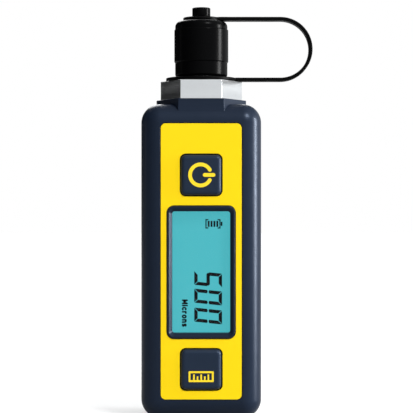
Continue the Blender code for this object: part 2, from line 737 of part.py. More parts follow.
def pin_places():
    return [(PIN_CIRCLE * cos(k * pi / 2 + pi / 4), PIN_CIRCLE * sin(k * pi / 2 + pi / 4), 0)
            for k in range(4)]


def make_sensor(glass, steel):
    header = solid("sensor_header", [rod(CHAMBER_RADIUS - FIT, HEADER_BOTTOM, HEADER_TOP,
                                         (0, 0, 0))], glass)
    cut(header, *[rod(PIN_RADIUS + FIT, HEADER_BOTTOM - MM, HEADER_TOP + MM, place, steps=12)
                  for place in pin_places()])
    for number, place in enumerate(pin_places(), 1):
        solid(f"sensor_pin_{number}", [rod(PIN_RADIUS, PIN_BOTTOM, PIN_TOP, place, steps=8)],
              steel)
    solid("sensor_element", [rod(3.3 * MM, PIN_TOP + FIT, PIN_TOP + FIT + 0.6 * MM, (0, 0, 0),
                                 steps=20)], steel)


# ---------------------------------------------------------------- power

def make_battery_tray(plastic):
    outer = TRAY_INNER_SIDE + TRAY_WALL
    tray = solid("battery_tray", [block((-outer, TRAY_FRONT, TRAY_BOTTOM),
                                        (outer, TRAY_BACK, TRAY_TOP))], plastic)
    cut(tray, block((-TRAY_INNER_SIDE, TRAY_FLOOR, TRAY_INNER_BOTTOM),
                    (TRAY_INNER_SIDE, TRAY_BACK + MM, TRAY_INNER_TOP)))


def make_cell(name, x, bottom, nub_up, jacket):
    """One AAA cell, its nub at the top or the bottom."""
    radius = CELL_RADIUS
    bevel = 0.3 * MM
    profile = [(radius - bevel, 0.0), (radius, bevel),
               (radius, CELL_LENGTH - CELL_NUB - bevel), (radius - bevel, CELL_LENGTH - CELL_NUB),
               (1.9 * MM, CELL_LENGTH - CELL_NUB), (1.9 * MM, CELL_LENGTH)]
    if nub_up:
        profile = [(r, bottom + h) for r, h in profile]
    else:
        profile = [(r, bottom + CELL_LENGTH - h) for r, h in profile]
    solid(name, [turned(profile, (x, CELL_Y, 0), steps=28)], jacket)


def make_cells(jacket):
    spring_bottom = LOWER_CONTACT_TOP + FIT
    left_bottom = spring_bottom + SPRING_LENGTH + FIT
    make_cell("battery_cell_left", -CELL_X, left_bottom, True, jacket)
    make_cell("battery_cell_right", CELL_X, LOWER_CONTACT_TOP + FIT, False, jacket)


def make_contacts(tin):
    low = LOWER_CONTACT_TOP - CONTACT_THICKNESS
    half = CELL_RADIUS - 0.8 * MM
    for name, x in (("left_contact", -CELL_X), ("right_contact", CELL_X)):
        solid(name, [block((x - half, CELL_Y - half, low),
                           (x + half, CELL_Y + half, LOWER_CONTACT_TOP))], tin)
    solid("bridge_contact", [block((-CELL_X - half, CELL_Y - half, UPPER_CONTACT_BOTTOM),
                                   (CELL_X + half, CELL_Y + half,
                                    UPPER_CONTACT_BOTTOM + CONTACT_THICKNESS))], tin)
    bottom = LOWER_CONTACT_TOP + FIT
    top = UPPER_CONTACT_BOTTOM - FIT
    wide = CELL_RADIUS - 1.6 * MM
    narrow = CELL_RADIUS - 3.0 * MM
    solid("left_spring", [coil((wide, narrow), 3, bottom, bottom + SPRING_LENGTH - FIT,
                               (-CELL_X, CELL_Y), SPRING_WIRE)], tin)
    solid("right_spring", [coil((narrow, wide), 3, top - SPRING_LENGTH + FIT, top,
                                (CELL_X, CELL_Y), SPRING_WIRE)], tin)


def make_battery_door(plastic):
    height = DOOR_TOP - DOOR_BOTTOM
    middle = (DOOR_TOP + DOOR_BOTTOM) / 2
    sections = [(DOOR_INNER, DOOR_WIDTH, height, DOOR_CORNER),
                (BACK - 0.4 * MM, DOOR_WIDTH, height, DOOR_CORNER),
                (BACK, DOOR_WIDTH - 0.8 * MM, height - 0.8 * MM, DOOR_CORNER - 0.4 * MM)]
    origin = (0.0, DOOR_INNER, middle)
    door = solid("battery_door", [slab(sections, (0.0, middle), 4)], plastic, origin)
    join(door, rod(DOOR_BOSS_RADIUS, DOOR_BOSS_FRONT, DOOR_INNER + 0.5 * MM,
                   (0, 0, DOOR_SCREW_Z), "Y", 20))
    profile = [(DOOR_SCREW_RADIUS + FIT, DOOR_BOSS_FRONT - MM),
               (DOOR_SCREW_RADIUS + FIT, DOOR_BORE_FLOOR),
               (DOOR_SCREW_HEAD + 0.5 * MM, DOOR_BORE_FLOOR),
               (DOOR_SCREW_HEAD + 0.5 * MM, BACK + MM)]
    cut(door, turned(profile, (0, 0, DOOR_SCREW_Z), "Y", steps=20))
    return door


def make_door_seal(rubber):
    """Flat frame between the door and its ledge, round the cell opening."""
    front = DOOR_LEDGE + FIT
    back = front + DOOR_SEAL_THICKNESS
    width = 2 * (TRAY_INNER_SIDE + FIT)
    height = TRAY_INNER_TOP - TRAY_INNER_BOTTOM + 2 * FIT
    band = DOOR_OVERLAP - FIT
    middle = (TRAY_INNER_TOP + TRAY_INNER_BOTTOM) / 2
    seal = solid("battery_door_seal", [plate(DOOR_WIDTH, height + 2 * band, DOOR_CORNER, front,
                                             back, middle)], rubber)
    cut(seal, plate(width, height, 0.8 * MM, front - MM, back + MM, middle))


def make_door_screw(steel, door):
    centre = (0, 0, DOOR_SCREW_Z)
    washer = solid("door_screw_washer",
                   [hollow_rod(DOOR_SCREW_RADIUS + FIT, DOOR_SCREW_HEAD + 0.1 * MM, WASHER_FRONT,
                               WASHER_BACK, centre, "Y", 20)],
                   steel, (0.0, WASHER_FRONT, DOOR_SCREW_Z))
    profile = [(DOOR_SCREW_RADIUS * 0.5, DOOR_SCREW_TIP),
               (DOOR_SCREW_RADIUS, DOOR_SCREW_TIP + 0.8 * MM),
               (DOOR_SCREW_RADIUS, DOOR_HEAD_FRONT), (DOOR_SCREW_HEAD, DOOR_HEAD_FRONT),
               (DOOR_SCREW_HEAD, DOOR_HEAD_BACK)]
    screw = solid("door_screw", [turned(profile, centre, "Y", steps=20)], steel,
                  (0.0, DOOR_SCREW_TIP, DOOR_SCREW_Z))
    cut(screw, *driver_slot(0.0, DOOR_SCREW_Z, DOOR_HEAD_BACK + 0.2 * MM, DOOR_SCREW_HEAD))
    carry(washer, door)
    carry(screw, door)


# ---------------------------------------------------------------- fitting, cap, strap

def make_fitting(metal):
    fitting = solid("sensor_fitting", [prism(hexagon(HEX_FLATS), HEX_BOTTOM, HEX_TOP)], metal)
    stem = [(NECK_RADIUS, HEX_TOP - MM), (NECK_RADIUS, THREAD_BOTTOM),
            (THREAD_RADIUS - 0.5 * MM, THREAD_BOTTOM), (THREAD_RADIUS, THREAD_BOTTOM + 0.5 * MM),
            (THREAD_RADIUS, THREAD_TOP - 0.4 * MM), (THREAD_RADIUS - 0.4 * MM, THREAD_TOP),
            (NOSE_RADIUS, NOSE_TOP)]
    join(fitting, rod(SHANK_RADIUS, SHANK_BOTTOM, HEX_BOTTOM + MM, (0, 0, 0)),
         turned(stem, (0, 0, 0)))
    chamber_top = HEX_BOTTOM
    bore = [(CHAMBER_RADIUS, SHANK_BOTTOM - MM), (CHAMBER_RADIUS, chamber_top),
            (PORT_RADIUS, chamber_top + CHAMBER_RADIUS - PORT_RADIUS), (PORT_RADIUS, NOSE_TOP + MM)]
    cut(fitting, turned(bore, (0, 0, 0)))
    reach = ORING_SECTION + FIT
    cut(fitting, hollow_rod(ORING_RADIUS - reach, ORING_RADIUS + reach, HEX_BOTTOM - MM,
                            HEX_BOTTOM + 2 * ORING_SECTION + FIT, (0, 0, 0)))


def make_fitting_seal(rubber):
    middle = HEX_BOTTOM + ORING_SECTION
    profile = [(ORING_RADIUS + ORING_SECTION * cos(k * pi / 4),
                middle + ORING_SECTION * sin(k * pi / 4)) for k in range(8)]
    solid("fitting_seal", [turned(profile, (0, 0, 0), closed=True)], rubber)


def make_fitting_nut(metal):
    nut = solid("fitting_nut", [hollow_rod(SHANK_RADIUS + FIT, NUT_RADIUS, NUT_BOTTOM, NUT_TOP,
                                           (0, 0, 0))], metal)
    slots = []
    for side in (-1, 1):
        near, far = sorted((side * (NUT_RADIUS - 0.6 * MM), side * (NUT_RADIUS + MM)))
        slots.append(block((near, -MM, NUT_BOTTOM - MM), (far, MM, NUT_TOP + MM)))
        slots.append(block((-MM, near, NUT_BOTTOM - MM), (MM, far, NUT_TOP + MM)))
    cut(nut, *slots)


def cap_profile():
    """Outer shape of the cap from its rim up to the knob."""
    chamfer = CAP_BAND_RADIUS - CAP_RADIUS
    band_bottom = CAP_BOTTOM + CAP_BAND_START
    band_top = band_bottom + CAP_BAND_LENGTH
    profile = [(CAP_RADIUS - 0.5 * MM, CAP_BOTTOM), (CAP_RADIUS, CAP_BOTTOM + 0.5 * MM),
               (CAP_RADIUS, band_bottom - chamfer), (CAP_BAND_RADIUS, band_bottom),
               (CAP_BAND_RADIUS, band_top), (CAP_RADIUS, band_top + chamfer)]
    for step in range(5):
        turn = step / 4 * pi / 2
        profile.append((CAP_RADIUS - CAP_SHOULDER * (1 - cos(turn)),
                        CAP_TOP - CAP_SHOULDER * (1 - sin(turn))))
    groove = KNOB_RADIUS - KNOB_GROOVE_DEPTH
    groove_top = UPPER_RING_Z + STRAP_THICKNESS + FIT
    profile += [(groove, CAP_TOP), (groove, groove_top), (KNOB_RADIUS, groove_top),
                (KNOB_RADIUS, KNOB_TOP - 0.3 * MM), (KNOB_RADIUS - 0.3 * MM, KNOB_TOP)]
    return profile


def make_cap(plastic, rubber):
    cap = solid("flare_cap", [turned(cap_profile(), (0, 0, 0))], plastic, (0.0, 0.0, CAP_BOTTOM))
    cut(cap, rod(CAP_BORE, CAP_BOTTOM - MM, CAP_TOP - CAP_ROOF, (0, 0, 0)))
    gasket = solid("cap_gasket", [rod(CAP_BORE - FIT, GASKET_BOTTOM, GASKET_TOP, (0, 0, 0))],
                   rubber, (0.0, 0.0, GASKET_BOTTOM))
    carry(gasket, cap)


def strap_path():
    """Centre line of the loop in the XZ plane, upper ring to lower ring."""
    upper = UPPER_RING_Z + STRAP_THICKNESS / 2
    lower = LOWER_RING_Z + STRAP_THICKNESS / 2
    radius = (upper - lower) / 2
    middle = (upper + lower) / 2
    path = [((UPPER_RING_RADIUS + FIT), upper, 0.0)]
    for step in range(21):
        turn = pi / 2 - pi * step / 20
        path.append((STRAP_REACH + radius * cos(turn), middle + radius * sin(turn),
                     pi / 2 - turn))
    path.append((LOWER_RING_RADIUS + FIT, lower, pi))
    return path


def make_strap(rubber):
    half = STRAP_WIDTH / 2
    thin = STRAP_THICKNESS / 2
    rings = []
    for x, z, turn in strap_path():
        dx, dz = thin * sin(turn), thin * cos(turn)
        rings.append([(x + dx, -half, z + dz), (x + dx, half, z + dz),
                      (x - dx, half, z - dz), (x - dx, -half, z - dz)])
    solid("strap_loop", [skin(rings)], rubber)
    lower_hole = THREAD_RADIUS + FIT
    solid("strap_lower_ring", [hollow_rod(lower_hole, LOWER_RING_RADIUS, LOWER_RING_Z,
                                          LOWER_RING_Z + STRAP_THICKNESS, (0, 0, 0))], rubber)
    upper_hole = KNOB_RADIUS - KNOB_GROOVE_DEPTH + FIT
    solid("strap_upper_ring", [hollow_rod(upper_hole, UPPER_RING_RADIUS, UPPER_RING_Z,
                                          UPPER_RING_Z + STRAP_THICKNESS, (0, 0, 0))],
          rubber, (0.0, 0.0, UPPER_RING_Z))


# ---------------------------------------------------------------- assembly

def build():
    clear_scene()
    navy = finish("navy_plastic", (0.015, 0.022, 0.040), 0.35)
    key_navy = finish("key_plastic", (0.021, 0.033, 0.058), 0.40)
    yellow = finish("overlay_film", (1.0, 0.73, 0.002), 0.45)
    black = finish("cap_plastic", (0.004, 0.004, 0.004), 0.30)
    rubber = finish("black_rubber", (0.006, 0.006, 0.006), 0.55)
    nickel = finish("nickel_plate", (0.62, 0.63, 0.64), 0.22, 1.0)
    steel = finish("screw_steel", (0.45, 0.45, 0.46), 0.30, 1.0)
    tin = finish("tinned_metal", (0.60, 0.60, 0.58), 0.35, 1.0)
    clear = finish("clear_window", (0.90, 0.95, 0.95), 0.05, 0.0, 0.25)
    crystal = finish("display_glass", (0.09, 0.54, 0.60), 0.25)
    white = finish("light_guide", (0.85, 0.85, 0.83), 0.50)
    laminate = finish("board_laminate", (0.01, 0.12, 0.04), 0.45)
    chip = finish("chip_epoxy", (0.02, 0.02, 0.02), 0.60)
    bead = finish("header_glass", (0.05, 0.10, 0.09), 0.20)
    jacket = finish("cell_jacket", (0.05, 0.12, 0.06), 0.40, 0.3)

    make_front_housing(navy)
    make_rear_housing(navy)
    make_housing_seal(rubber)
    make_housing_screws(steel)
    make_face_overlay(yellow)
    make_keys(key_navy, rubber, steel)
    make_display(clear, crystal, white, rubber)
    make_board(laminate, chip, tin)
    make_sensor_board(laminate, tin)
    make_sensor(bead, steel)
    make_battery_tray(black)
    make_cells(jacket)
    make_contacts(tin)
    door = make_battery_door(navy)
    make_door_seal(rubber)
    make_door_screw(steel, door)
    make_fitting(nickel)
    make_fitting_seal(rubber)
    make_fitting_nut(nickel)
    make_cap(black, rubber)
    make_strap(rubber)


build()
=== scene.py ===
"""Looks of a pocket digital vacuum gauge: housing, face, threaded port, cap and strap."""

import json
from math import cos, pi, radians, sin, sqrt

import bmesh
import bpy
from mathutils import Matrix, Vector


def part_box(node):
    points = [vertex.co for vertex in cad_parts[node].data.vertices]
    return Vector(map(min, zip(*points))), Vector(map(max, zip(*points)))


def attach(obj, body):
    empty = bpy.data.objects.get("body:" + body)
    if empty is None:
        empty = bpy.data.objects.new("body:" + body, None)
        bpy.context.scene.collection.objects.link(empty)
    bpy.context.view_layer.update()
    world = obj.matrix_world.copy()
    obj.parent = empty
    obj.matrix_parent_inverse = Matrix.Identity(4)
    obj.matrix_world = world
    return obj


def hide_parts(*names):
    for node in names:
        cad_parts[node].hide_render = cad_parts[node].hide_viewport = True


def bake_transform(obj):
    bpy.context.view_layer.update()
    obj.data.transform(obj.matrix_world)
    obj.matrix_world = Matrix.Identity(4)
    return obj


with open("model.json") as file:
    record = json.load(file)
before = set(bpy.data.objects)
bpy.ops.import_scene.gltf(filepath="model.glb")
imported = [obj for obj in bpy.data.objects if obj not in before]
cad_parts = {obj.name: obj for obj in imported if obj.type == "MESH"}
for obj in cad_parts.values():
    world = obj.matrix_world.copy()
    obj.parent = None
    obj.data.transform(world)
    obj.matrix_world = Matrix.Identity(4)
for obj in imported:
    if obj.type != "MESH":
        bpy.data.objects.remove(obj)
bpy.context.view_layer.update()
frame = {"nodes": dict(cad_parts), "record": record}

MM = 0.001
FIT = 0.3 * MM

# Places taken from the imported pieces
OVERLAY_LOW, OVERLAY_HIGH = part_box("face_overlay")
FRONT_LOW, FRONT_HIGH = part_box("front_housing")
REAR_LOW, REAR_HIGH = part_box("rear_housing")
FITTING_LOW, FITTING_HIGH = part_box("sensor_fitting")
FRONT = OVERLAY_LOW.y
BACK = REAR_HIGH.y
PARTING = (FRONT_HIGH.y + REAR_LOW.y) / 2
BODY_WIDTH = REAR_HIGH.x - REAR_LOW.x
COLLAR_TOP = REAR_HIGH.z

# Housing
BODY_HEIGHT = 83.7 * MM
BODY_MIDDLE = BODY_HEIGHT / 2
EDGE_RADIUS = 5.0 * MM
BACK_RADIUS = 3.0 * MM
WALL = 2.2 * MM
BACK_WALL = 4.2 * MM
INNER_FRONT = FRONT + WALL
INNER_BACK = BACK - BACK_WALL
COLLAR_FLATS = 21.09 * MM
COLLAR_CORNER = 0.25 * MM
POCKET_FLATS = 19.45 * MM
POCKET_FLOOR = 81.9 * MM
SEAT_BOTTOM = 78.5 * MM
SEAT_HALF_WIDTH = 12.0 * MM
SHANK_HOLE = 6.5 * MM
SCREW_BOSS = 2.5 * MM
SCREW_HEAD = 1.8 * MM
SCREW_SHANK = 0.9 * MM
PARTING_BEVEL = 0.14 * MM
MOUTH = 0.15 * MM               # chamfer round each opening

# Display
RIM = (18.0 * MM, 35.0 * MM, 1.85 * MM)
RIM_RISE = 0.4 * MM
RIM_LAND = 0.5 * MM
VIEW = (15.3 * MM, 32.1 * MM, 0.6 * MM)
BEZEL_DEPTH = 0.8 * MM

# Keys
KEY_SIZE = 10.7 * MM
KEY_CORNER = 1.3 * MM
KEY_EDGE = 1.1 * MM
KEY_FLANGE = 12.6 * MM
SIGN_RISE = 0.03 * MM
NAVY_SHEEN = (0.62, 0.76, 1.0, 1.0)

# Door
DOOR_LEDGE = 9.1 * MM
DOOR_BOSS = 3.2 * MM
DOOR_CORNER = 2.0 * MM
DOOR_SCREW_SHANK = 1.0 * MM
RIB_COUNT = 5
RIB_PITCH = 1.5 * MM
RIB_WIDTH = 14.0 * MM
RIB_SIZE = 0.7 * MM
RIB_FOOT = 4.0 * MM             # foot of the door to the first rib
RIB_RECESS = 0.4 * MM

# Fineness
CORNER_STEPS = 14
EDGE_STEPS = 12
TURN_STEPS = 96


# ---------------------------------------------------------------- shapes

def skin(rings, closed=False):
    """Shell through rings of equal length, capped unless it closes on itself."""
    count = len(rings[0])
    points = [point for ring in rings for point in ring]
    faces = []
    last = len(rings) if closed else len(rings) - 1
    for k in range(last):
        here = k * count
        there = ((k + 1) % len(rings)) * count
        for i in range(count):
            j = (i + 1) % count
            faces.append((here + i, here + j, there + j, there + i))
    if not closed:
        faces.append(tuple(range(count)))
        faces.append(tuple(range(len(points) - count, len(points))))
    return points, faces


def outline(width, height, corner, steps=CORNER_STEPS):
    """Rounded rectangle about the origin as (x, z) pairs."""
    points = []
    for quarter, (sx, sz) in enumerate(((1, 1), (-1, 1), (-1, -1), (1, -1))):
        for step in range(steps + 1):
            turn = (quarter + step / steps) * pi / 2
            points.append((sx * (width / 2 - corner) + corner * cos(turn),
                           sz * (height / 2 - corner) + corner * sin(turn)))
    return points


def slab(sections, centre=(0.0, 0.0), steps=CORNER_STEPS):
    """Rounded rectangles (y, width, height, corner) joined front to back."""
    rings = []
    for y, width, height, corner in sections:
        flat = outline(width, height, corner, steps)
        rings.append([(centre[0] + x, y, centre[1] + z) for x, z in flat])
    return skin(rings)


def opening(width, height, corner, back, centre_z, face=FRONT, steps=CORNER_STEPS):
    """Cutter from in front of a face, with a chamfered mouth."""
    wide = (width + 2 * MOUTH, height + 2 * MOUTH, corner + MOUTH)
    past = (width + 2 * MM, height + 2 * MM, corner + MM)
    return slab([(face - MM + MOUTH, *past), (face, *wide), (face + MOUTH, width, height, corner),
                 (back, width, height, corner)], (0.0, centre_z), steps)


def block(low, high):
    """Plain box between two corners."""
    rings = []
    for z in (low[2], high[2]):
        rings.append([(low[0], low[1], z), (high[0], low[1], z),
                      (high[0], high[1], z), (low[0], high[1], z)])
    return skin(rings)


def turned(profile, centre=(0.0, 0.0, 0.0), axis="Z", closed=False, steps=TURN_STEPS):
    """Solid of revolution from (radius, height) pairs along Z or Y."""
    rings = []
    for radius, height in profile:
        ring = []
        for step in range(steps):
            turn = 2 * pi * step / steps
            a, b = radius * cos(turn), radius * sin(turn)
            place = (a, b, height) if axis == "Z" else (a, height, b)
            ring.append(tuple(centre[k] + place[k] for k in range(3)))
        rings.append(ring)
    return skin(rings, closed)


def rod(radius, start, end, centre=(0.0, 0.0, 0.0), axis="Z", steps=48):
    return turned([(radius, start), (radius, end)], centre, axis, steps=steps)


def corner_arc(centre, radius, start, end, steps=6):
    """(radius, height) pairs round a corner, angles in degrees."""
    pairs = []
    for step in range(steps + 1):
        turn = radians(start + (end - start) * step / steps)
        pairs.append((centre[0] + radius * cos(turn), centre[1] + radius * sin(turn)))
    return pairs


def rounding(radius, steps=EDGE_STEPS):
    """(inset, depth) pairs of a quarter round, from the face to the side."""
    pairs = []
    for step in range(steps + 1):
        turn = step / steps * pi / 2
        pairs.append((radius * (1 - sin(turn)), radius * (1 - cos(turn))))
    return pairs


def hexagon(flats, corner=0.0, steps=4):
    """Hexagon with a flat to the front, its corners rounded when asked."""
    points = []
    for k in range(6):
        middle = k * pi / 3
        reach = flats / (2 * cos(pi / 6))
        if not corner:
            points.append((reach * cos(middle), reach * sin(middle)))
            continue
        hub = reach - corner / cos(pi / 6)
        for step in range(steps + 1):
            turn = middle - pi / 6 + pi / 3 * step / steps
            points.append((hub * cos(middle) + corner * cos(turn),
                           hub * sin(middle) + corner * sin(turn)))
    return points


def upright(sections):
    """Prism through (z, outline) pairs."""
    return skin([[(x, y, z) for x, y in flat] for z, flat in sections])


# ---------------------------------------------------------------- pieces

def mesh_piece(name, *shells):
    """Mesh object from closed shells, its place in its mesh."""
    mesh = bpy.data.meshes.new(name)
    bm = bmesh.new()
    for points, faces in shells:
        corners = [bm.verts.new(point) for point in points]
        made = [bm.faces.new([corners[k] for k in face]) for face in faces]
        bmesh.ops.recalc_face_normals(bm, faces=made)
    bm.to_mesh(mesh)
    bm.free()
    item = bpy.data.objects.new(name, mesh)
    bpy.context.scene.collection.objects.link(item)
    return item


def settle(item):
    """Turn the evaluated result into a plain mesh and drop the modifiers."""
    depsgraph = bpy.context.evaluated_depsgraph_get()
    mesh = bpy.data.meshes.new_from_object(item.evaluated_get(depsgraph))
    item.modifiers.clear()
    item.data = mesh
    return item


def boolean(item, operation, *shells):
    """Join or cut, one shell after another."""
    for shell in shells:
        tool = shell if isinstance(shell, bpy.types.Object) else mesh_piece("tool", shell)
        modifier = item.modifiers.new(operation.title(), "BOOLEAN")
        modifier.operation = operation
        modifier.solver = "EXACT"
        modifier.object = tool
        settle(item)
        bpy.data.objects.remove(tool, do_unlink=True)
    return item


def cut(item, *shells):
    return boolean(item, "DIFFERENCE", *shells)


def join(item, *shells):
    return boolean(item, "UNION", *shells)


def smooth(item, angle=28):
    """Smooth curved faces and keep flat ones flat."""
    bm = bmesh.new()
    bm.from_mesh(item.data)
    bmesh.ops.remove_doubles(bm, verts=bm.verts, dist=0.0005 * MM)
    bmesh.ops.dissolve_degenerate(bm, edges=bm.edges, dist=0.0005 * MM)
    bm.to_mesh(item.data)
    bm.free()
    item.data.shade_smooth()
    item.data.set_sharp_from_angle(angle=radians(angle))
    modifier = item.modifiers.new("Normals", "WEIGHTED_NORMAL")
    modifier.keep_sharp = True
    modifier.weight = 80
    return settle(item)


def place(item, material, body, slot, *nodes):
    """Give a finished piece its material and its body, and hide the nodes it stands for."""
    item.data.materials.clear()
    item.data.materials.append(material)
    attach(item, body)
    if nodes:
        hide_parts(*nodes)
    return item


# ---------------------------------------------------------------- materials

def link(tree, source, target):
    tree.links.new(source, target)


def new_node(tree, kind, **values):
    node = tree.nodes.new(kind)
    for name, value in values.items():
        setattr(node, name, value)
    return node


def noise(tree, coordinates, size, detail=2.0, stretch=(1.0, 1.0, 1.0)):
    """Noise whose cells measure size, in metres, stretched along the axes."""
    mapping = new_node(tree, "ShaderNodeMapping")
    mapping.inputs["Scale"].default_value = [1 / (size * along) for along in stretch]
    link(tree, coordinates, mapping.inputs["Vector"])
    texture = new_node(tree, "ShaderNodeTexNoise")
    texture.inputs["Scale"].default_value = 1.0
    texture.inputs["Detail"].default_value = detail
    link(tree, mapping.outputs["Vector"], texture.inputs["Vector"])
    return texture.outputs["Fac"]


def spread(tree, source, low, high, start=0.3, end=0.7):
    """Map a 0 to 1 value on to a range."""
    node = new_node(tree, "ShaderNodeMapRange")
    for key, value in (("From Min", start), ("From Max", end), ("To Min", low), ("To Max", high)):
        node.inputs[key].default_value = value
    link(tree, source, node.inputs["Value"])
    return node.outputs["Result"]


def mix_colour(tree, factor, first, second):
    """Mix two colours, each a tuple or a socket."""
    node = new_node(tree, "ShaderNodeMix", data_type="RGBA")
    link(tree, factor, node.inputs["Factor"])
    for key, colour in ((6, first), (7, second)):
        if isinstance(colour, tuple):
            node.inputs[key].default_value = (*colour, 1.0)
        else:
            link(tree, colour, node.inputs[key])
    return node.outputs[2]


def shade(colour, amount):
    return tuple(min(1.0, part * amount) for part in colour)


def surface(name, colour, roughness, metallic=0.0, grain=0.2 * MM, depth=0.01 * MM,
            vary=0.08, stretch=(1.0, 1.0, 1.0), worn=0.06, shine=0.5):
    """Principled material with grain, uneven gloss and slight mottling."""
    material = bpy.data.materials.new(name)
    material.use_nodes = True
    tree = material.node_tree
    shader = tree.nodes["Principled BSDF"]
    shader.inputs["Metallic"].default_value = metallic
    shader.inputs["Specular IOR Level"].default_value = shine
    coordinates = new_node(tree, "ShaderNodeTexCoord").outputs["Object"]
    mottle = noise(tree, coordinates, 9 * MM, 4.0)
    base = mix_colour(tree, mottle, shade(colour, 1 - vary), shade(colour, 1 + vary))
    link(tree, base, shader.inputs["Base Color"])
    rub = noise(tree, coordinates, 3.5 * MM, 6.0, stretch)
    link(tree, spread(tree, rub, roughness - worn, roughness + worn), shader.inputs["Roughness"])
    bump = new_node(tree, "ShaderNodeBump")
    bump.inputs["Strength"].default_value = 1.0
    bump.inputs["Distance"].default_value = depth
    link(tree, noise(tree, coordinates, grain, 3.0, stretch), bump.inputs["Height"])
    link(tree, bump.outputs["Normal"], shader.inputs["Normal"])
    return material


def socket(material, name):
    return material.node_tree.nodes["Principled BSDF"].inputs[name]


def scuffs(material, colour, size=1.6 * MM, reach=(0.66, 0.78), amount=0.35):
    """Pale rub marks scattered over a surface."""
    tree = material.node_tree
    target = socket(material, "Base Color")
    base = target.links[0].from_socket
    coordinates = tree.nodes["Texture Coordinate"].outputs["Object"]
    mask = spread(tree, noise(tree, coordinates, size, 8.0, (1.0, 1.0, 2.6)), 0.0, amount, *reach)
    link(tree, mix_colour(tree, mask, base, colour), target)
    return material


def navy_plastic():
    """Satin moulded shell with a fine spark grain."""
    material = surface("navy_shell_plastic", (0.0080, 0.0130, 0.0255), 0.31, grain=0.16 * MM,
                       depth=0.002 * MM, vary=0.05, worn=0.03, shine=0.22)
    socket(material, "Specular Tint").default_value = NAVY_SHEEN
    return material


def key_plastic():
    material = surface("navy_key_plastic", (0.0125, 0.0205, 0.0380), 0.33, grain=0.12 * MM,
                       depth=0.002 * MM, vary=0.04, worn=0.04, shine=0.20)
    socket(material, "Specular Tint").default_value = NAVY_SHEEN
    return material


def overlay_film():
    """Printed polyester face film with a fine matte tooth."""
    return surface("yellow_face_film", (0.93, 0.645, 0.003), 0.42, grain=0.09 * MM,
                   depth=0.002 * MM, vary=0.015, worn=0.05, shine=0.15)


def sign_ink():
    return surface("yellow_sign_ink", (0.95, 0.68, 0.006), 0.50, grain=0.07 * MM,
                   depth=0.002 * MM, vary=0.03)


def cap_plastic():
    """Glossy black moulding with faint flow marks along its length."""
    return surface("black_cap_plastic", (0.0012, 0.0012, 0.0014), 0.24, grain=0.5 * MM,
                   depth=0.002 * MM, vary=0.2, stretch=(1.0, 1.0, 5.0), worn=0.04, shine=0.035)


def strap_rubber():
    return surface("black_strap_rubber", (0.0014, 0.0014, 0.0015), 0.42, grain=0.10 * MM,
                   depth=0.004 * MM, vary=0.25, worn=0.08, shine=0.04)


def seal_rubber():
    return surface("black_seal_rubber", (0.012, 0.012, 0.012), 0.60, grain=0.12 * MM,
                   depth=0.006 * MM, vary=0.25)


def nickel_plate():
    """Plated brass, drawn lines along the faces and small handling marks."""
    material = surface("nickel_plate", (0.78, 0.79, 0.80), 0.20, 1.0, grain=0.10 * MM,
                       depth=0.0012 * MM, vary=0.05, stretch=(14.0, 14.0, 0.8), worn=0.07)
    return scuffs(material, (0.52, 0.52, 0.51), 0.7 * MM, (0.66, 0.80), 0.5)


def screw_steel():
    return surface("screw_steel", (0.48, 0.48, 0.49), 0.30, 1.0, grain=0.08 * MM,
                   depth=0.003 * MM, vary=0.12, stretch=(4.0, 1.0, 1.0), worn=0.10)


def tinned_metal():
    return surface("tinned_metal", (0.62, 0.61, 0.58), 0.34, 1.0, grain=0.12 * MM,
                   depth=0.003 * MM, vary=0.10, worn=0.10)


def window_plastic():
    """Clear acrylic, faintly grey, with a soft gloss."""
    material = surface("clear_window_plastic", (0.02, 0.03, 0.03), 0.07, grain=1.5 * MM,
                       depth=0.001 * MM, vary=0.02, worn=0.03)
    socket(material, "Alpha").default_value = 0.05
    return material


def display_glass():
    """Lit display: even teal with slight mottling and the tooth of its polariser."""
    material = surface("lit_display_glass", (0.010, 0.070, 0.080), 0.35, grain=0.05 * MM,
                       depth=0.001 * MM, vary=0.03, worn=0.04, shine=0.2)
    socket(material, "Emission Color").default_value = (0.080, 0.540, 0.605, 1.0)
    socket(material, "Emission Strength").default_value = 0.87
    return material


def display_ink():
    return surface("display_ink", (0.003, 0.003, 0.005), 0.45, grain=0.06 * MM,
                   depth=0.001 * MM, vary=0.1, shine=0.1)


def light_guide():
    return surface("light_guide", (0.84, 0.84, 0.82), 0.45, grain=0.2 * MM, depth=0.002 * MM,
                   vary=0.03)


def board_laminate():
    """Green solder mask over a woven base."""
    material = surface("board_laminate", (0.010, 0.105, 0.035), 0.36, grain=0.35 * MM,
                       depth=0.004 * MM, vary=0.18, stretch=(1.0, 1.0, 0.35))
    return scuffs(material, (0.05, 0.20, 0.09), 0.9 * MM, (0.60, 0.66), 0.6)


def black_moulding():
    return surface("black_moulding", (0.014, 0.014, 0.015), 0.55, grain=0.14 * MM,
                   depth=0.005 * MM, vary=0.15)


def header_glass():
    return surface("header_glass", (0.05, 0.10, 0.09), 0.16, grain=0.4 * MM, depth=0.002 * MM,
                   vary=0.15)


def cell_jacket():
    """Dark shrink-wrapped jacket."""
    return surface("cell_jacket", (0.018, 0.020, 0.024), 0.28, 0.25, grain=0.5 * MM,
                   depth=0.002 * MM, vary=0.10)


# ---------------------------------------------------------------- housing

def body_shell():
    sections = []
    for inset, depth in rounding(EDGE_RADIUS):
        corner = max(EDGE_RADIUS - inset, 0.2 * MM)
        sections.append((FRONT + depth, BODY_WIDTH - 2 * inset, BODY_HEIGHT - 2 * inset, corner))
    for inset, depth in reversed(rounding(BACK_RADIUS)):
        sections.append((BACK - depth, BODY_WIDTH - 2 * inset, BODY_HEIGHT - 2 * inset,
                         EDGE_RADIUS - inset))
    return slab(sections, (0.0, BODY_MIDDLE))


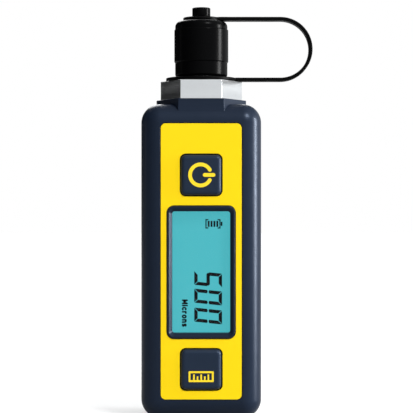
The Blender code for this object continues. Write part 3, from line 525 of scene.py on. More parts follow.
def collar():
    """Hexagonal rim with softened corners round the foot of the fitting."""
    sections = [(BODY_HEIGHT - EDGE_RADIUS, hexagon(COLLAR_FLATS, COLLAR_CORNER))]
    for inset, depth in reversed(rounding(0.15 * MM, 3)):
        flat = hexagon(COLLAR_FLATS - 2 * inset, COLLAR_CORNER)
        sections.append((COLLAR_TOP - depth, flat))
    return upright(sections)


def far_half(side):
    near, far = sorted((PARTING + side * FIT / 2, PARTING - side * 2 * BODY_WIDTH))
    return block((-BODY_WIDTH, near, -BODY_WIDTH), (BODY_WIDTH, far, 2 * BODY_HEIGHT))


def screw_places():
    places = []
    for number in range(1, 5):
        low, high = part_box(f"housing_screw_{number}")
        places.append(((low.x + high.x) / 2, (low.z + high.z) / 2))
    return places


def cavity(front, back, *posts):
    """Space inside a half, less the seat of the fitting, the screw bosses and the posts."""
    width = BODY_WIDTH - 2 * WALL
    height = BODY_HEIGHT - 2 * WALL
    corner = EDGE_RADIUS - WALL
    tool = mesh_piece("cavity", slab([(front, width, height, corner),
                                      (back, width, height, corner)], (0.0, BODY_MIDDLE), 6))
    cut(tool, block((-SEAT_HALF_WIDTH, front - MM, SEAT_BOTTOM),
                    (SEAT_HALF_WIDTH, back + MM, BODY_HEIGHT)))
    for x, z in screw_places():
        cut(tool, rod(SCREW_BOSS, front - MM, back + MM, (x, 0, z), "Y", 24))
    return cut(tool, *posts)


def soften_parting(item, plane):
    """Small round on the outer edge of a half where the two halves meet."""
    bm = bmesh.new()
    bm.from_mesh(item.data)
    bmesh.ops.remove_doubles(bm, verts=bm.verts, dist=0.0005 * MM)
    edges = []
    for edge in bm.edges:
        if len(edge.link_faces) != 2 or edge.calc_length() < 0.02 * MM:
            continue
        if any(abs(vert.co.y - plane) > 0.001 * MM for vert in edge.verts):
            continue
        flat = [face for face in edge.link_faces if abs(face.normal.y) > 0.99]
        side = [face for face in edge.link_faces if abs(face.normal.y) < 0.2]
        if not flat or not side:
            continue
        middle = (edge.verts[0].co + edge.verts[1].co) / 2
        outer = abs(middle.x) > BODY_WIDTH / 2 - 0.4 * MM or middle.z < 0.4 * MM
        corner = abs(middle.x) > BODY_WIDTH / 2 - EDGE_RADIUS
        if outer or (corner and side[0].normal.dot(middle - Vector((0, plane, BODY_MIDDLE))) > 0):
            if abs(middle.x) > 13.9 * MM or middle.z < 2.1 * MM or middle.z > 81.6 * MM:
                edges.append(edge)
    bmesh.ops.bevel(bm, geom=edges, offset=PARTING_BEVEL, segments=2, affect="EDGES",
                    clamp_overlap=True)
    bm.to_mesh(item.data)
    bm.free()


def fitting_room():
    """Pocket for the hexagon and hole for the shank."""
    return (upright([(POCKET_FLOOR, hexagon(POCKET_FLATS)),
                     (COLLAR_TOP - 0.12 * MM, hexagon(POCKET_FLATS)),
                     (COLLAR_TOP + MM, hexagon(POCKET_FLATS + 1.5 * MM))]),
            rod(SHANK_HOLE, SEAT_BOTTOM - MM, POCKET_FLOOR + MM, steps=64))


def display_rim(middle):
    sections = []
    for inset, depth in rounding(0.22 * MM, 5):
        sections.append((FRONT - RIM_RISE + depth, RIM[0] - 2 * inset, RIM[1] - 2 * inset,
                         RIM[2] - inset))
    sections.append((FRONT + MM, *RIM))
    return slab(sections, (0.0, middle))


def display_recess(middle):
    """Opening with a steep bevel at the rim, then straight down to the window."""
    top = FRONT - RIM_RISE
    rim = [RIM[0] - 2 * RIM_LAND, RIM[1] - 2 * RIM_LAND, RIM[2] - RIM_LAND]
    view = [size + 0.1 * MM for size in VIEW]
    over = [2 * a - b for a, b in zip(rim, view)]
    return slab([(top - BEZEL_DEPTH, *over), (top, *rim), (top + BEZEL_DEPTH, *view),
                 (INNER_FRONT + MM, *VIEW)], (0.0, middle))


def key_middle(name):
    low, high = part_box(name)
    return (low.z + high.z) / 2


def front_shell(material):
    window_low, window_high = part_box("display_window")
    middle = (window_low.z + window_high.z) / 2
    item = mesh_piece("front_shell", body_shell())
    join(item, collar())
    gap = 0.2 * MM
    cut(item, opening(OVERLAY_HIGH.x - OVERLAY_LOW.x + gap, OVERLAY_HIGH.z - OVERLAY_LOW.z + gap,
                      1.4 * MM, OVERLAY_HIGH.y + FIT, BODY_MIDDLE))
    join(item, display_rim(middle))
    cut(item, far_half(-1), cavity(INNER_FRONT, BACK))
    side = KEY_SIZE + 2 * FIT
    cut(item, display_recess(middle),
        *[opening(side, side, KEY_CORNER + FIT, INNER_FRONT + MM, key_middle(name),
                  OVERLAY_HIGH.y + FIT) for name in ("power_button", "units_button")])
    cut(item, *fitting_room())
    soften_parting(item, FRONT_HIGH.y)
    place(smooth(item, 40), material, "root", "navy_plastic", "front_housing")


def rear_shell(material):
    door_low, door_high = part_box("battery_door")
    tray_low, tray_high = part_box("battery_tray")
    screw_z = key_middle("door_screw")
    lug = rod(DOOR_BOSS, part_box("door_screw")[0].y - MM, INNER_BACK + MM, (0, 0, screw_z), "Y", 32)
    item = mesh_piece("rear_shell", body_shell())
    join(item, collar())
    cut(item, far_half(1), cavity(FRONT, INNER_BACK, lug))
    width = door_high.x - door_low.x + 2 * FIT
    height = door_high.z - door_low.z + 2 * FIT
    middle = (door_low.z + door_high.z) / 2
    wide = (width + 2 * MOUTH, height + 2 * MOUTH, DOOR_CORNER + FIT + MOUTH)
    cut(item, slab([(DOOR_LEDGE, width, height, DOOR_CORNER + FIT),
                    (BACK - MOUTH, width, height, DOOR_CORNER + FIT), (BACK, *wide),
                    (BACK + MM, wide[0] + 2 * MM, wide[1] + 2 * MM, wide[2] + MM)],
                   (0.0, middle)))
    bay = 22.1 * MM
    inner = (tray_low.z + MM, tray_high.z - MM)
    cut(item, slab([(INNER_BACK - MM, bay, inner[1] - inner[0], MM),
                    (DOOR_LEDGE + MM, bay, inner[1] - inner[0], MM)],
                   (0.0, (inner[0] + inner[1]) / 2)))
    cut(item, rod(DOOR_SCREW_SHANK + FIT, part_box("door_screw")[0].y - 0.4 * MM, DOOR_LEDGE + MM,
                  (0, 0, screw_z), "Y", 32))
    for x, z in screw_places():
        floor = BACK - 1.9 * MM
        head = SCREW_HEAD + FIT
        cut(item, turned([(SCREW_SHANK + FIT, PARTING - MM), (SCREW_SHANK + FIT, floor),
                          (head, floor), (head, BACK - MOUTH), (head + MOUTH, BACK),
                          (head + MOUTH + MM, BACK + MM)], (x, 0, z), "Y", steps=48))
    cut(item, *fitting_room())
    soften_parting(item, REAR_LOW.y)
    place(smooth(item), material, "root", "navy_plastic", "rear_housing")


# ---------------------------------------------------------------- face

def face_panel(material):
    """Yellow film, its edges and holes slightly rounded over."""
    window_low, window_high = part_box("display_window")
    middle = (window_low.z + window_high.z) / 2
    width = OVERLAY_HIGH.x - OVERLAY_LOW.x
    height = OVERLAY_HIGH.z - OVERLAY_LOW.z
    edge = 0.06 * MM
    item = mesh_piece("face_panel", slab(
        [(FRONT, width - 2 * edge, height - 2 * edge, 1.3 * MM - edge),
         (FRONT + edge, width, height, 1.3 * MM), (OVERLAY_HIGH.y, width, height, 1.3 * MM)],
        (0.0, BODY_MIDDLE)))
    side = KEY_SIZE + 2 * FIT
    for name in ("power_button", "units_button"):
        cut(item, slab([(FRONT - MM, side + 2 * MM, side + 2 * MM, KEY_CORNER + FIT + MM),
                        (FRONT + edge, side, side, KEY_CORNER + FIT),
                        (FRONT + MM, side, side, KEY_CORNER + FIT)], (0.0, key_middle(name))))
    gap = 0.2 * MM
    cut(item, slab([(FRONT - MM, RIM[0] + 2 * gap, RIM[1] + 2 * gap, RIM[2] + gap),
                    (FRONT + MM, RIM[0] + 2 * gap, RIM[1] + 2 * gap, RIM[2] + gap)],
                   (0.0, middle)))
    place(smooth(item), material, "root", "overlay_film", "face_overlay")


def key_cap(name, body, node, material):
    """Square key with a rounded edge, a shallow dish, and its flange and nub behind."""
    low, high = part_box(node)
    middle = key_middle(node)
    sections = []
    for share in (0.25, 0.5, 0.75):
        side = (KEY_SIZE - 2 * KEY_EDGE) * share
        sections.append((low.y + 0.05 * MM * (1 - share ** 2), side, side, 0.3 * MM))
    for inset, depth in rounding(KEY_EDGE, 8):
        side = KEY_SIZE - 2 * inset
        sections.append((low.y + depth, side, side, max(KEY_CORNER - inset, 0.35 * MM)))
    flange_front = INNER_FRONT + FIT
    flange_back = flange_front + 0.9 * MM
    sections += [(flange_front, KEY_SIZE, KEY_SIZE, KEY_CORNER),
                 (flange_front, KEY_FLANGE, KEY_FLANGE, KEY_CORNER),
                 (flange_back, KEY_FLANGE, KEY_FLANGE, KEY_CORNER)]
    item = mesh_piece(name, slab(sections, (0.0, middle), 8))
    join(item, rod(1.5 * MM, flange_back - FIT, high.y, (0, 0, middle), "Y", 32))
    place(smooth(item, 35), material, body, "key_plastic", node)


def ribbon(path, width, front, back, ends=8):
    """Flat stroke with round ends along (x, z) points, between two planes."""
    left, right = [], []
    half = width / 2
    for k, point in enumerate(path):
        before = path[max(k - 1, 0)]
        after = path[min(k + 1, len(path) - 1)]
        run = Vector((after[0] - before[0], after[1] - before[1])).normalized()
        left.append((point[0] - run.y * half, point[1] + run.x * half))
        right.append((point[0] + run.y * half, point[1] - run.x * half))
    start = Vector(path[1]) - Vector(path[0])
    end = Vector(path[-1]) - Vector(path[-2])
    flat = list(left)
    flat += round_end(path[-1], end, half, ends)
    flat += reversed(right)
    flat += round_end(path[0], -start, half, ends)
    return skin([[(x, y, z) for x, z in flat] for y in (front, back)])


def round_end(place_at, run, half, steps):
    heading = Vector((run.x, run.y)).normalized()
    side = Vector((-heading.y, heading.x))
    points = []
    for step in range(1, steps):
        turn = pi * step / steps
        spot = Vector(place_at) + side * half * cos(turn) + heading * half * sin(turn)
        points.append((spot.x, spot.y))
    return points


def power_sign(material):
    """Ring with a gap to the side and a bar through it."""
    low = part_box("power_button")[0]
    middle = key_middle("power_button")
    centre = -0.15 * MM
    radius, stroke, gap = 2.78 * MM, 0.98 * MM, 29
    ring = []
    for step in range(61):
        turn = radians(gap + (360 - 2 * gap) * step / 60)
        ring.append((centre + radius * cos(turn), middle + radius * sin(turn)))
    bar = [(0.95 * MM, middle), (3.25 * MM, middle)]
    reach = (low.y - SIGN_RISE, low.y + 0.09 * MM)
    item = mesh_piece("power_sign", ribbon(ring, stroke, *reach), ribbon(bar, 1.0 * MM, *reach))
    place(smooth(item), material, "power_button", "overlay_film")


def ruler_sign(material):
    """Outlined scale with long and short ticks, for the units key."""
    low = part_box("units_button")[0]
    middle = key_middle("units_button") - 1.8 * MM
    width, height, stroke = 6.65 * MM, 2.85 * MM, 0.5 * MM
    front, back = low.y - SIGN_RISE, low.y + 0.09 * MM
    item = mesh_piece("ruler_sign", slab([(front, width, height, 0.25 * MM),
                                          (back, width, height, 0.25 * MM)], (0.0, middle), 4))
    cut(item, block((-width / 2 + stroke, front - MM, middle - height / 2 + stroke),
                    (width / 2 - stroke, back + MM, middle + height / 2 - stroke)))
    tick, spacing = 0.42 * MM, 0.95 * MM
    base = middle - height / 2 + stroke / 2
    for k in range(5):
        x = (k - 2) * spacing
        tall = 1.25 * MM if k % 2 else 1.75 * MM
        join(item, block((x - tick / 2, front + 0.002 * MM, base),
                         (x + tick / 2, back - 0.002 * MM, base + tall)))
    place(smooth(item), material, "units_button", "overlay_film")


# ---------------------------------------------------------------- display

SEGMENTS = {"5": "afgcd", "0": "abcdef"}


def segment_shape(kind, long, half, tall):
    """Corners of one bar of a digit, width along x and height along y."""
    gap = 0.1 * MM
    if kind in "agd":
        y = {"a": tall, "g": 0.0, "d": -tall}[kind]
        inward = {"a": -1, "g": 0, "d": 1}[kind]
        near = long - gap
        if kind == "g":
            return [(-near + half, half), (near - half, half), (near, 0), (near - half, -half),
                    (-near + half, -half), (-near, 0)]
        inner = y + inward * 2 * half
        return [(-near, y), (near, y), (near - 2 * half, inner),
                (-near + 2 * half, inner)]
    side = -1 if kind in "ef" else 1
    top = kind in "bf"
    y0 = gap
    y1 = tall - gap
    points = [(side * long, y1), (side * (long - 2 * half), y1 - 2 * half),
              (side * (long - 2 * half), y0 + half * 0.4), (side * (long - half), y0),
              (side * long, y0 + half * 0.4)]
    return points if top else [(x, -y) for x, y in points]


def digit(mark, left, tall, wide):
    """Leaning seven-bar digit as polygons of (along, up) pairs."""
    half = 0.45 * MM
    lean = 0.105
    shapes = []
    for kind in SEGMENTS[mark]:
        corners = segment_shape(kind, wide / 2, half, tall / 2)
        shapes.append([(left + wide / 2 + x + lean * (y + tall / 2), y) for x, y in corners])
    return shapes


def flat_shell(corners, front, back):
    return skin([[(x, y, z) for x, z in corners] for y in (front, back)])


def display_marks(material):
    """Reading and a battery sign, printed to be read sideways."""
    low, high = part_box("display_panel")
    middle = (low.z + high.z) / 2
    front, back = low.y - 0.04 * MM, low.y + 0.05 * MM
    centre = 1.85 * MM
    start = 39.25 * MM
    shells = []
    for mark, along in (("5", 0.0), ("0", 4.75 * MM), ("0", 9.80 * MM)):
        for corners in digit(mark, along, 7.4 * MM, 3.75 * MM):
            placed = [(centre + up, start - right) for right, up in corners]
            shells.append(flat_shell(placed, front, back))
    shells += battery_sign(front, back)
    item = mesh_piece("display_marks", *shells)
    place(smooth(item), material, "root", "display_glass")


def battery_sign(front, back):
    """Outline with four bars and a nub."""
    left, right, low, high = 1.12 * MM, 5.15 * MM, 50.5 * MM, 53.0 * MM
    line, arm, bar, pitch = 0.30 * MM, 0.8 * MM, 0.50 * MM, 0.77 * MM
    boxes = [(left, low, left + line, high), (right - line, low, right, high)]
    for edge in (low, high - line):
        boxes += [(left, edge, left + arm, edge + line), (right - arm, edge, right, edge + line)]
    first = (left + right - 3 * pitch - bar) / 2
    for k in range(4):
        boxes.append((first + k * pitch, low + 0.45 * MM, first + k * pitch + bar,
                      high - 0.45 * MM))
    boxes.append((right + 0.06 * MM, low + 0.7 * MM, right + 0.5 * MM, high - 0.7 * MM))
    return [block((x0, front, z0), (x1, back, z1)) for x0, z0, x1, z1 in boxes]


def bow(along, up, reach, rise, start, end, steps=14):
    """Points round part of an ellipse, angles in degrees."""
    points = []
    for step in range(steps + 1):
        turn = radians(start + (end - start) * step / steps)
        points.append((along + reach * cos(turn), up + rise * sin(turn)))
    return points


def letter_strokes(tall, low, wide):
    """Strokes of each letter in heights of a capital, of a small letter, and half a width."""
    mid = low / 2
    curve = low / 4
    return {
        "M": (2.6 * wide, [[(0, 0), (0, tall)], [(0, tall), (1.3 * wide, low * 0.35)],
                           [(1.3 * wide, low * 0.35), (2.6 * wide, tall)],
                           [(2.6 * wide, tall), (2.6 * wide, 0)]]),
        "i": (0.0, [[(0, 0), (0, low * 0.97)], [(0, tall - 0.02 * MM), (0, tall)]]),
        "c": (1.7 * wide, [bow(wide, mid, wide, mid, 48, 312)]),
        "r": (1.1 * wide, [[(0, 0), (0, low)], bow(wide, low - mid, wide, mid, 175, 85, 8)]),
        "o": (2 * wide, [bow(wide, mid, wide, mid, 0, 360, 24)]),
        "n": (1.8 * wide, [[(0, 0), (0, low)],
                           bow(0.9 * wide, low - mid, 0.9 * wide, mid, 175, 0, 10)
                           + [(1.8 * wide, 0)]]),
        "s": (1.5 * wide, [bow(0.75 * wide, low - curve, 0.75 * wide, curve, 35, 270, 10)
                           + bow(0.75 * wide, curve, 0.75 * wide, curve, 80, -145, 10)]),
    }


def unit_word(material):
    """The unit of the reading, set beside the digits and read sideways."""
    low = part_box("display_panel")[0]
    front, back = low.y - 0.04 * MM, low.y + 0.05 * MM
    stroke, gap = 0.41 * MM, 0.55 * MM
    letters = letter_strokes(1.22 * MM, 0.90 * MM, 0.335 * MM)
    foot, along = -4.97 * MM, 0.0
    shells = []
    for letter in "Microns":
        width, strokes = letters[letter]
        for path in strokes:
            placed = [(foot + up, 31.4 * MM - along - right) for right, up in path]
            shells.append(ribbon(placed, stroke, front, back, 6))
        along += width + gap
    item = mesh_piece("unit_word", *shells)
    place(smooth(item), material, "root", "display_glass")


# ---------------------------------------------------------------- fitting, cap and strap

def flare_fitting(material):
    """Hexagon, neck and nose of the port, bored through."""
    flats = FITTING_HIGH.y - FITTING_LOW.y
    seat, top = 82.2 * MM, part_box("strap_lower_ring")[0].z - 0.2 * MM
    sections = []
    for inset, depth in rounding(0.10 * MM, 3):
        sections.append((seat + depth, hexagon(flats - 2 * inset, 0.06 * MM)))
    for inset, depth in reversed(rounding(0.10 * MM, 3)):
        sections.append((top - depth, hexagon(flats - 2 * inset, 0.06 * MM)))
    item = mesh_piece("flare_fitting", upright(sections))
    root, neck = 4.86 * MM, 4.8 * MM
    thread_low, thread_high = top + 1.4 * MM, top + 11.8 * MM
    stem = [(neck, top - MM), (neck, thread_low), (root, thread_low + 0.3 * MM),
            (root, thread_high), (4.5 * MM, thread_high + 0.35 * MM)]
    stem += corner_arc((3.1 * MM, FITTING_HIGH.z - 0.3 * MM), 0.3 * MM, 40, 90)
    join(item, rod(6.2 * MM, FITTING_LOW.z, seat + MM, steps=64), turned(stem))
    bore = [(4.6 * MM, FITTING_LOW.z - MM), (4.6 * MM, seat), (2.4 * MM, seat + 2.2 * MM),
            (2.4 * MM, FITTING_HIGH.z - 0.25 * MM), (3.65 * MM, FITTING_HIGH.z + MM)]
    cut(item, turned(bore))
    place(smooth(item), material, "root", "nickel_plate", "sensor_fitting")
    return thread_low, thread_high


def node_group(name, **sizes):
    """Geometry tree with named length inputs and one geometry output."""
    tree = bpy.data.node_groups.new(name, "GeometryNodeTree")
    kinds = {"material": "NodeSocketMaterial", "piece": "NodeSocketObject"}
    sockets = {}
    for label, kind in sizes.items():
        sockets[label] = tree.interface.new_socket(label, in_out="INPUT",
                                                   socket_type=kinds.get(kind, kind))
    tree.interface.new_socket("Geometry", in_out="OUTPUT", socket_type="NodeSocketGeometry")
    return tree, sockets, tree.nodes.new("NodeGroupInput"), tree.nodes.new("NodeGroupOutput")


def close_tree(tree, geometry, start, end):
    """Realize Instances, then Set Material, then the output."""
    real = tree.nodes.new("GeometryNodeRealizeInstances")
    dress = tree.nodes.new("GeometryNodeSetMaterial")
    link(tree, geometry, real.inputs["Geometry"])
    link(tree, real.outputs["Geometry"], dress.inputs["Geometry"])
    link(tree, start.outputs["Material"], dress.inputs["Material"])
    link(tree, dress.outputs["Geometry"], end.inputs["Geometry"])


def grow(name, tree, sockets, **values):
    """Run a tree on a new object with the given inputs."""
    item = bpy.data.objects.new(name, bpy.data.meshes.new(name))
    bpy.context.scene.collection.objects.link(item)
    modifier = item.modifiers.new(name, "NODES")
    modifier.node_group = tree
    for label, value in values.items():
        modifier[sockets[label].identifier] = value
    return settle(item)


def wound_tree():
    """A profile wound into a helix, thinning out at both ends."""
    tree, sockets, start, end = node_group(
        "wound_profile", Low_Radius="NodeSocketFloat", High_Radius="NodeSocketFloat",
        Turns="NodeSocketFloat", Rise="NodeSocketFloat", Profile="NodeSocketFloat",
        Sides="NodeSocketInt", Steps="NodeSocketInt", Fade="NodeSocketFloat",
        Material="NodeSocketMaterial")
    spiral = tree.nodes.new("GeometryNodeCurveSpiral")
    for source, target in (("Low_Radius", "Start Radius"), ("High_Radius", "End Radius"),
                           ("Turns", "Rotations"), ("Rise", "Height"), ("Steps", "Resolution")):
        link(tree, start.outputs[source], spiral.inputs[target])
    level = tree.nodes.new("GeometryNodeSetCurveNormal")
    level.mode = "Z_UP"
    link(tree, spiral.outputs["Curve"], level.inputs["Curve"])
    share = tree.nodes.new("GeometryNodeSplineParameter").outputs["Factor"]
    mirror = new_node(tree, "ShaderNodeMath", operation="SUBTRACT")
    mirror.inputs[0].default_value = 1.0
    link(tree, share, mirror.inputs[1])
    nearest = new_node(tree, "ShaderNodeMath", operation="MINIMUM")
    link(tree, share, nearest.inputs[0])
    link(tree, mirror.outputs[0], nearest.inputs[1])
    fade = new_node(tree, "ShaderNodeMath", operation="MULTIPLY", use_clamp=True)
    link(tree, nearest.outputs[0], fade.inputs[0])
    link(tree, start.outputs["Fade"], fade.inputs[1])
    floor = new_node(tree, "ShaderNodeMath", operation="MAXIMUM")
    floor.inputs[1].default_value = 0.05
    link(tree, fade.outputs[0], floor.inputs[0])
    taper = tree.nodes.new("GeometryNodeSetCurveRadius")
    link(tree, level.outputs["Curve"], taper.inputs["Curve"])
    link(tree, floor.outputs[0], taper.inputs["Radius"])
    profile = tree.nodes.new("GeometryNodeCurvePrimitiveCircle")
    link(tree, start.outputs["Sides"], profile.inputs["Resolution"])
    link(tree, start.outputs["Profile"], profile.inputs["Radius"])
    sweep = tree.nodes.new("GeometryNodeCurveToMesh")
    sweep.inputs["Fill Caps"].default_value = True
    link(tree, taper.outputs["Curve"], sweep.inputs["Curve"])
    link(tree, profile.outputs["Curve"], sweep.inputs["Profile Curve"])
    if "Scale" in sweep.inputs:
        link(tree, floor.outputs[0], sweep.inputs["Scale"])
    close_tree(tree, sweep.outputs["Mesh"], start, end)
    return tree, sockets


def flare_thread(tree, sockets, low, high, material):
    """Raised 20 turns to the inch thread on the port."""
    pitch = 1.27 * MM
    side = 0.60 * MM
    rise = high - low - pitch
    item = grow("flare_thread", tree, sockets, Low_Radius=5.55 * MM - side, Fade=12.0,
                High_Radius=5.55 * MM - side, Turns=rise / pitch, Rise=rise, Profile=side,
                Sides=3, Steps=64, Material=material)
    item.data.transform(Matrix.Translation((0, 0, low + pitch / 2)))
    place(item, material, "root", "nickel_plate")


def cap_profile(low, high):
    """Outside of the cap from its rim up to the knob."""
    body, band, knob, neck = 7.08 * MM, 7.31 * MM, 2.455 * MM, 2.055 * MM
    top = high - 3.65 * MM
    band_low, band_high = low + 4.1 * MM, low + 12.7 * MM
    step = band - body
    profile = [(5.85 * MM, low + 0.25 * MM), (6.1 * MM, low)]
    profile += corner_arc((body - 0.7 * MM, low + 0.7 * MM), 0.7 * MM, -90, 0)
    profile += [(body, band_low - step), (band - 0.05 * MM, band_low - 0.05 * MM),
                (band, band_low + 0.08 * MM), (band, band_high - 0.08 * MM),
                (band - 0.05 * MM, band_high + 0.05 * MM), (body, band_high + step)]
    profile += corner_arc((body - 1.6 * MM, top - 1.6 * MM), 1.6 * MM, 0, 90, 10)
    groove_top = top + 1.26 * MM
    profile += [(neck, top), (neck, groove_top)]
    profile += corner_arc((knob - 0.15 * MM, groove_top + 0.15 * MM), 0.15 * MM, -90, 0, 3)
    profile += corner_arc((knob - 0.3 * MM, high - 0.3 * MM), 0.3 * MM, 0, 90, 5)
    return profile


def dust_cap(material):
    low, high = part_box("flare_cap")
    item = mesh_piece("dust_cap", turned(cap_profile(low.z, high.z)))
    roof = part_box("cap_gasket")[1].z + FIT
    cut(item, rod(5.85 * MM, low.z - MM, roof, steps=TURN_STEPS))
    place(smooth(item, 32), material, "cap", "cap_plastic", "flare_cap")


def strap_ring(inner, outer, low, thickness):
    edge = 0.18 * MM
    high = low + thickness
    profile = corner_arc((outer - edge, low + edge), edge, -90, 0, 4)
    profile += corner_arc((outer - edge, high - edge), edge, 0, 90, 4)
    profile += corner_arc((inner + edge, high - edge), edge, 90, 180, 4)
    profile += corner_arc((inner + edge, low + edge), edge, 180, 270, 4)
    return turned(profile, closed=True)


def strap_band(lower, upper, reach, starts):
    """Band from the upper ring round the half circle to the lower ring."""
    radius = (upper - lower) / 2
    middle = (upper + lower) / 2
    path = []
    for share in (0.0, 0.1, 0.2, 0.35, 0.5, 0.75, 1.0):
        path.append((starts[1] + (reach - starts[1]) * share, upper, pi / 2, share))
    for step in range(1, 48):
        turn = pi / 2 - pi * step / 48
        path.append((reach + radius * cos(turn), middle + radius * sin(turn), turn, 1.0))
    for share in (1.0, 0.75, 0.5, 0.35, 0.2, 0.1, 0.0):
        path.append((starts[0] + (reach - starts[0]) * share, lower, -pi / 2, share))
    rings = []
    for x, z, turn, share in path:
        wide = 4.0 * MM + 1.3 * MM * max(0.0, 1 - share / 0.22) ** 2
        thick = 0.70 * MM if share < 0.05 else 0.95 * MM
        ring = []
        for along, out in outline(wide, thick, 0.18 * MM, 4):
            ring.append((x + out * cos(turn), along, z + out * sin(turn)))
        rings.append(ring)
    return skin(rings)


def cap_strap(material):
    """One moulded strap: ring on the port, loop, ring under the knob."""
    lower_low, lower_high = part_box("strap_lower_ring")
    upper_low, upper_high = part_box("strap_upper_ring")
    thickness = lower_high.z - lower_low.z
    item = mesh_piece("cap_strap", strap_ring(5.85 * MM, lower_high.x, lower_low.z, thickness))
    lower = (lower_low.z + lower_high.z) / 2
    upper = (upper_low.z + upper_high.z) / 2
    band = strap_band(lower, upper, 21.4 * MM, (lower_high.x - 1.2 * MM, upper_high.x - 1.2 * MM))
    join(item, band, strap_ring(2.355 * MM, upper_high.x, upper_low.z, thickness))
    item.data.shade_smooth()
    item.data.set_sharp_from_angle(angle=radians(40))
    item.data.materials.append(material)
    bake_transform(item)
    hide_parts("strap_lower_ring", "strap_loop", "strap_upper_ring")


# ---------------------------------------------------------------- screws, door and cells

def driver_slot(x, z, face, radius):
    return block((x - radius * 0.75, face - 0.7 * MM, z - radius * 0.19),
                 (x + radius * 0.75, face + MM, z + radius * 0.19))


def screw_body(tip, under, face, shank, head, slot_face):
    """Slotted screw about the Y axis, its head domed over at the rim."""
    profile = [(shank * 0.4, tip), (shank, tip + 0.8 * MM), (shank, under), (head, under)]
    profile += [(head - inset, face - depth) for inset, depth in reversed(rounding(0.35 * MM, 6))]
    item = mesh_piece("screw", turned(profile, axis="Y", steps=48))
    return smooth(cut(item, driver_slot(0.0, 0.0, slot_face, head)))


def case_screws(material):
    """Four identical screws instanced on the corners of a rectangle."""
    low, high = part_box("housing_screw_1")
    places = screw_places()
    template = screw_body(low.y, high.y - 1.1 * MM, high.y, SCREW_SHANK, SCREW_HEAD, high.y)
    tree, sockets, start, end = node_group(
        "screw_pattern", Spread="NodeSocketFloat", Drop="NodeSocketFloat",
        Centre="NodeSocketVector", Screw="NodeSocketObject", Material="NodeSocketMaterial")
    grid = tree.nodes.new("GeometryNodeMeshGrid")
    grid.inputs["Vertices X"].default_value = 2
    grid.inputs["Vertices Y"].default_value = 2
    link(tree, start.outputs["Spread"], grid.inputs["Size X"])
    link(tree, start.outputs["Drop"], grid.inputs["Size Y"])
    stand = tree.nodes.new("GeometryNodeTransform")
    stand.inputs["Rotation"].default_value = (pi / 2, 0, 0)
    link(tree, grid.outputs["Mesh"], stand.inputs["Geometry"])
    link(tree, start.outputs["Centre"], stand.inputs["Translation"])
    info = tree.nodes.new("GeometryNodeObjectInfo")
    link(tree, start.outputs["Screw"], info.inputs["Object"])
    set_out = tree.nodes.new("GeometryNodeInstanceOnPoints")
    link(tree, stand.outputs["Geometry"], set_out.inputs["Points"])
    link(tree, info.outputs["Geometry"], set_out.inputs["Instance"])
    close_tree(tree, set_out.outputs["Instances"], start, end)
    xs = [x for x, z in places]
    zs = [z for x, z in places]
    item = grow("case_screws", tree, sockets, Spread=max(xs) - min(xs), Drop=max(zs) - min(zs),
                Centre=(0.0, 0.0, (max(zs) + min(zs)) / 2), Screw=template, Material=material)
    bpy.data.objects.remove(template, do_unlink=True)
    place(item, material, "root", "screw_steel", *[f"housing_screw_{k}" for k in range(1, 5)])


def door_screw(material):
    low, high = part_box("door_screw")
    middle = key_middle("door_screw")
    item = screw_body(low.y, high.y - 0.8 * MM, high.y, DOOR_SCREW_SHANK, 2.1 * MM,
                      high.y + 0.2 * MM)
    item.name = "captive_screw"
    item.data.transform(Matrix.Translation((0, 0, middle)))
    place(item, material, "door_screw", "screw_steel", "door_screw")


def cell_door(material):
    """Battery door with a rounded edge, a sunk seat for its screw and a recess for its ribs."""
    low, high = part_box("battery_door")
    width, height = high.x - low.x, high.z - low.z
    middle = (low.z + high.z) / 2
    screw_z = key_middle("door_screw")
    inner = BACK - 2.0 * MM
    sections = [(inner, width, height, DOOR_CORNER)]
    sections += [(BACK - depth, width - 2 * inset, height - 2 * inset, DOOR_CORNER - inset)
                 for inset, depth in reversed(rounding(0.4 * MM, 6))]
    item = mesh_piece("cell_door", slab(sections, (0.0, middle), 8))
    join(item, rod(DOOR_BOSS, low.y, inner + 0.5 * MM, (0, 0, screw_z), "Y", 48))
    floor = BACK - 1.8 * MM
    cut(item, turned([(DOOR_SCREW_SHANK + FIT, low.y - MM), (DOOR_SCREW_SHANK + FIT, floor),
                      (2.6 * MM, floor), (2.6 * MM, BACK - MOUTH), (2.6 * MM + MOUTH, BACK),
                      (3.6 * MM + MOUTH, BACK + MM)], (0, 0, screw_z), "Y", steps=64))
    middle = low.z + RIB_FOOT + (RIB_COUNT - 1) * RIB_PITCH / 2
    height = RIB_COUNT * RIB_PITCH + RIB_SIZE
    width = RIB_WIDTH + 2 * RIB_PITCH
    cut(item, slab([(BACK - RIB_RECESS, width, height, RIB_PITCH),
                    (BACK - MOUTH, width, height, RIB_PITCH),
                    (BACK + MOUTH, width + 4 * MOUTH, height + 4 * MOUTH, RIB_PITCH + 2 * MOUTH)],
                   (0.0, middle), 8))
    place(smooth(item), material, "battery_door", "navy_plastic", "battery_door")


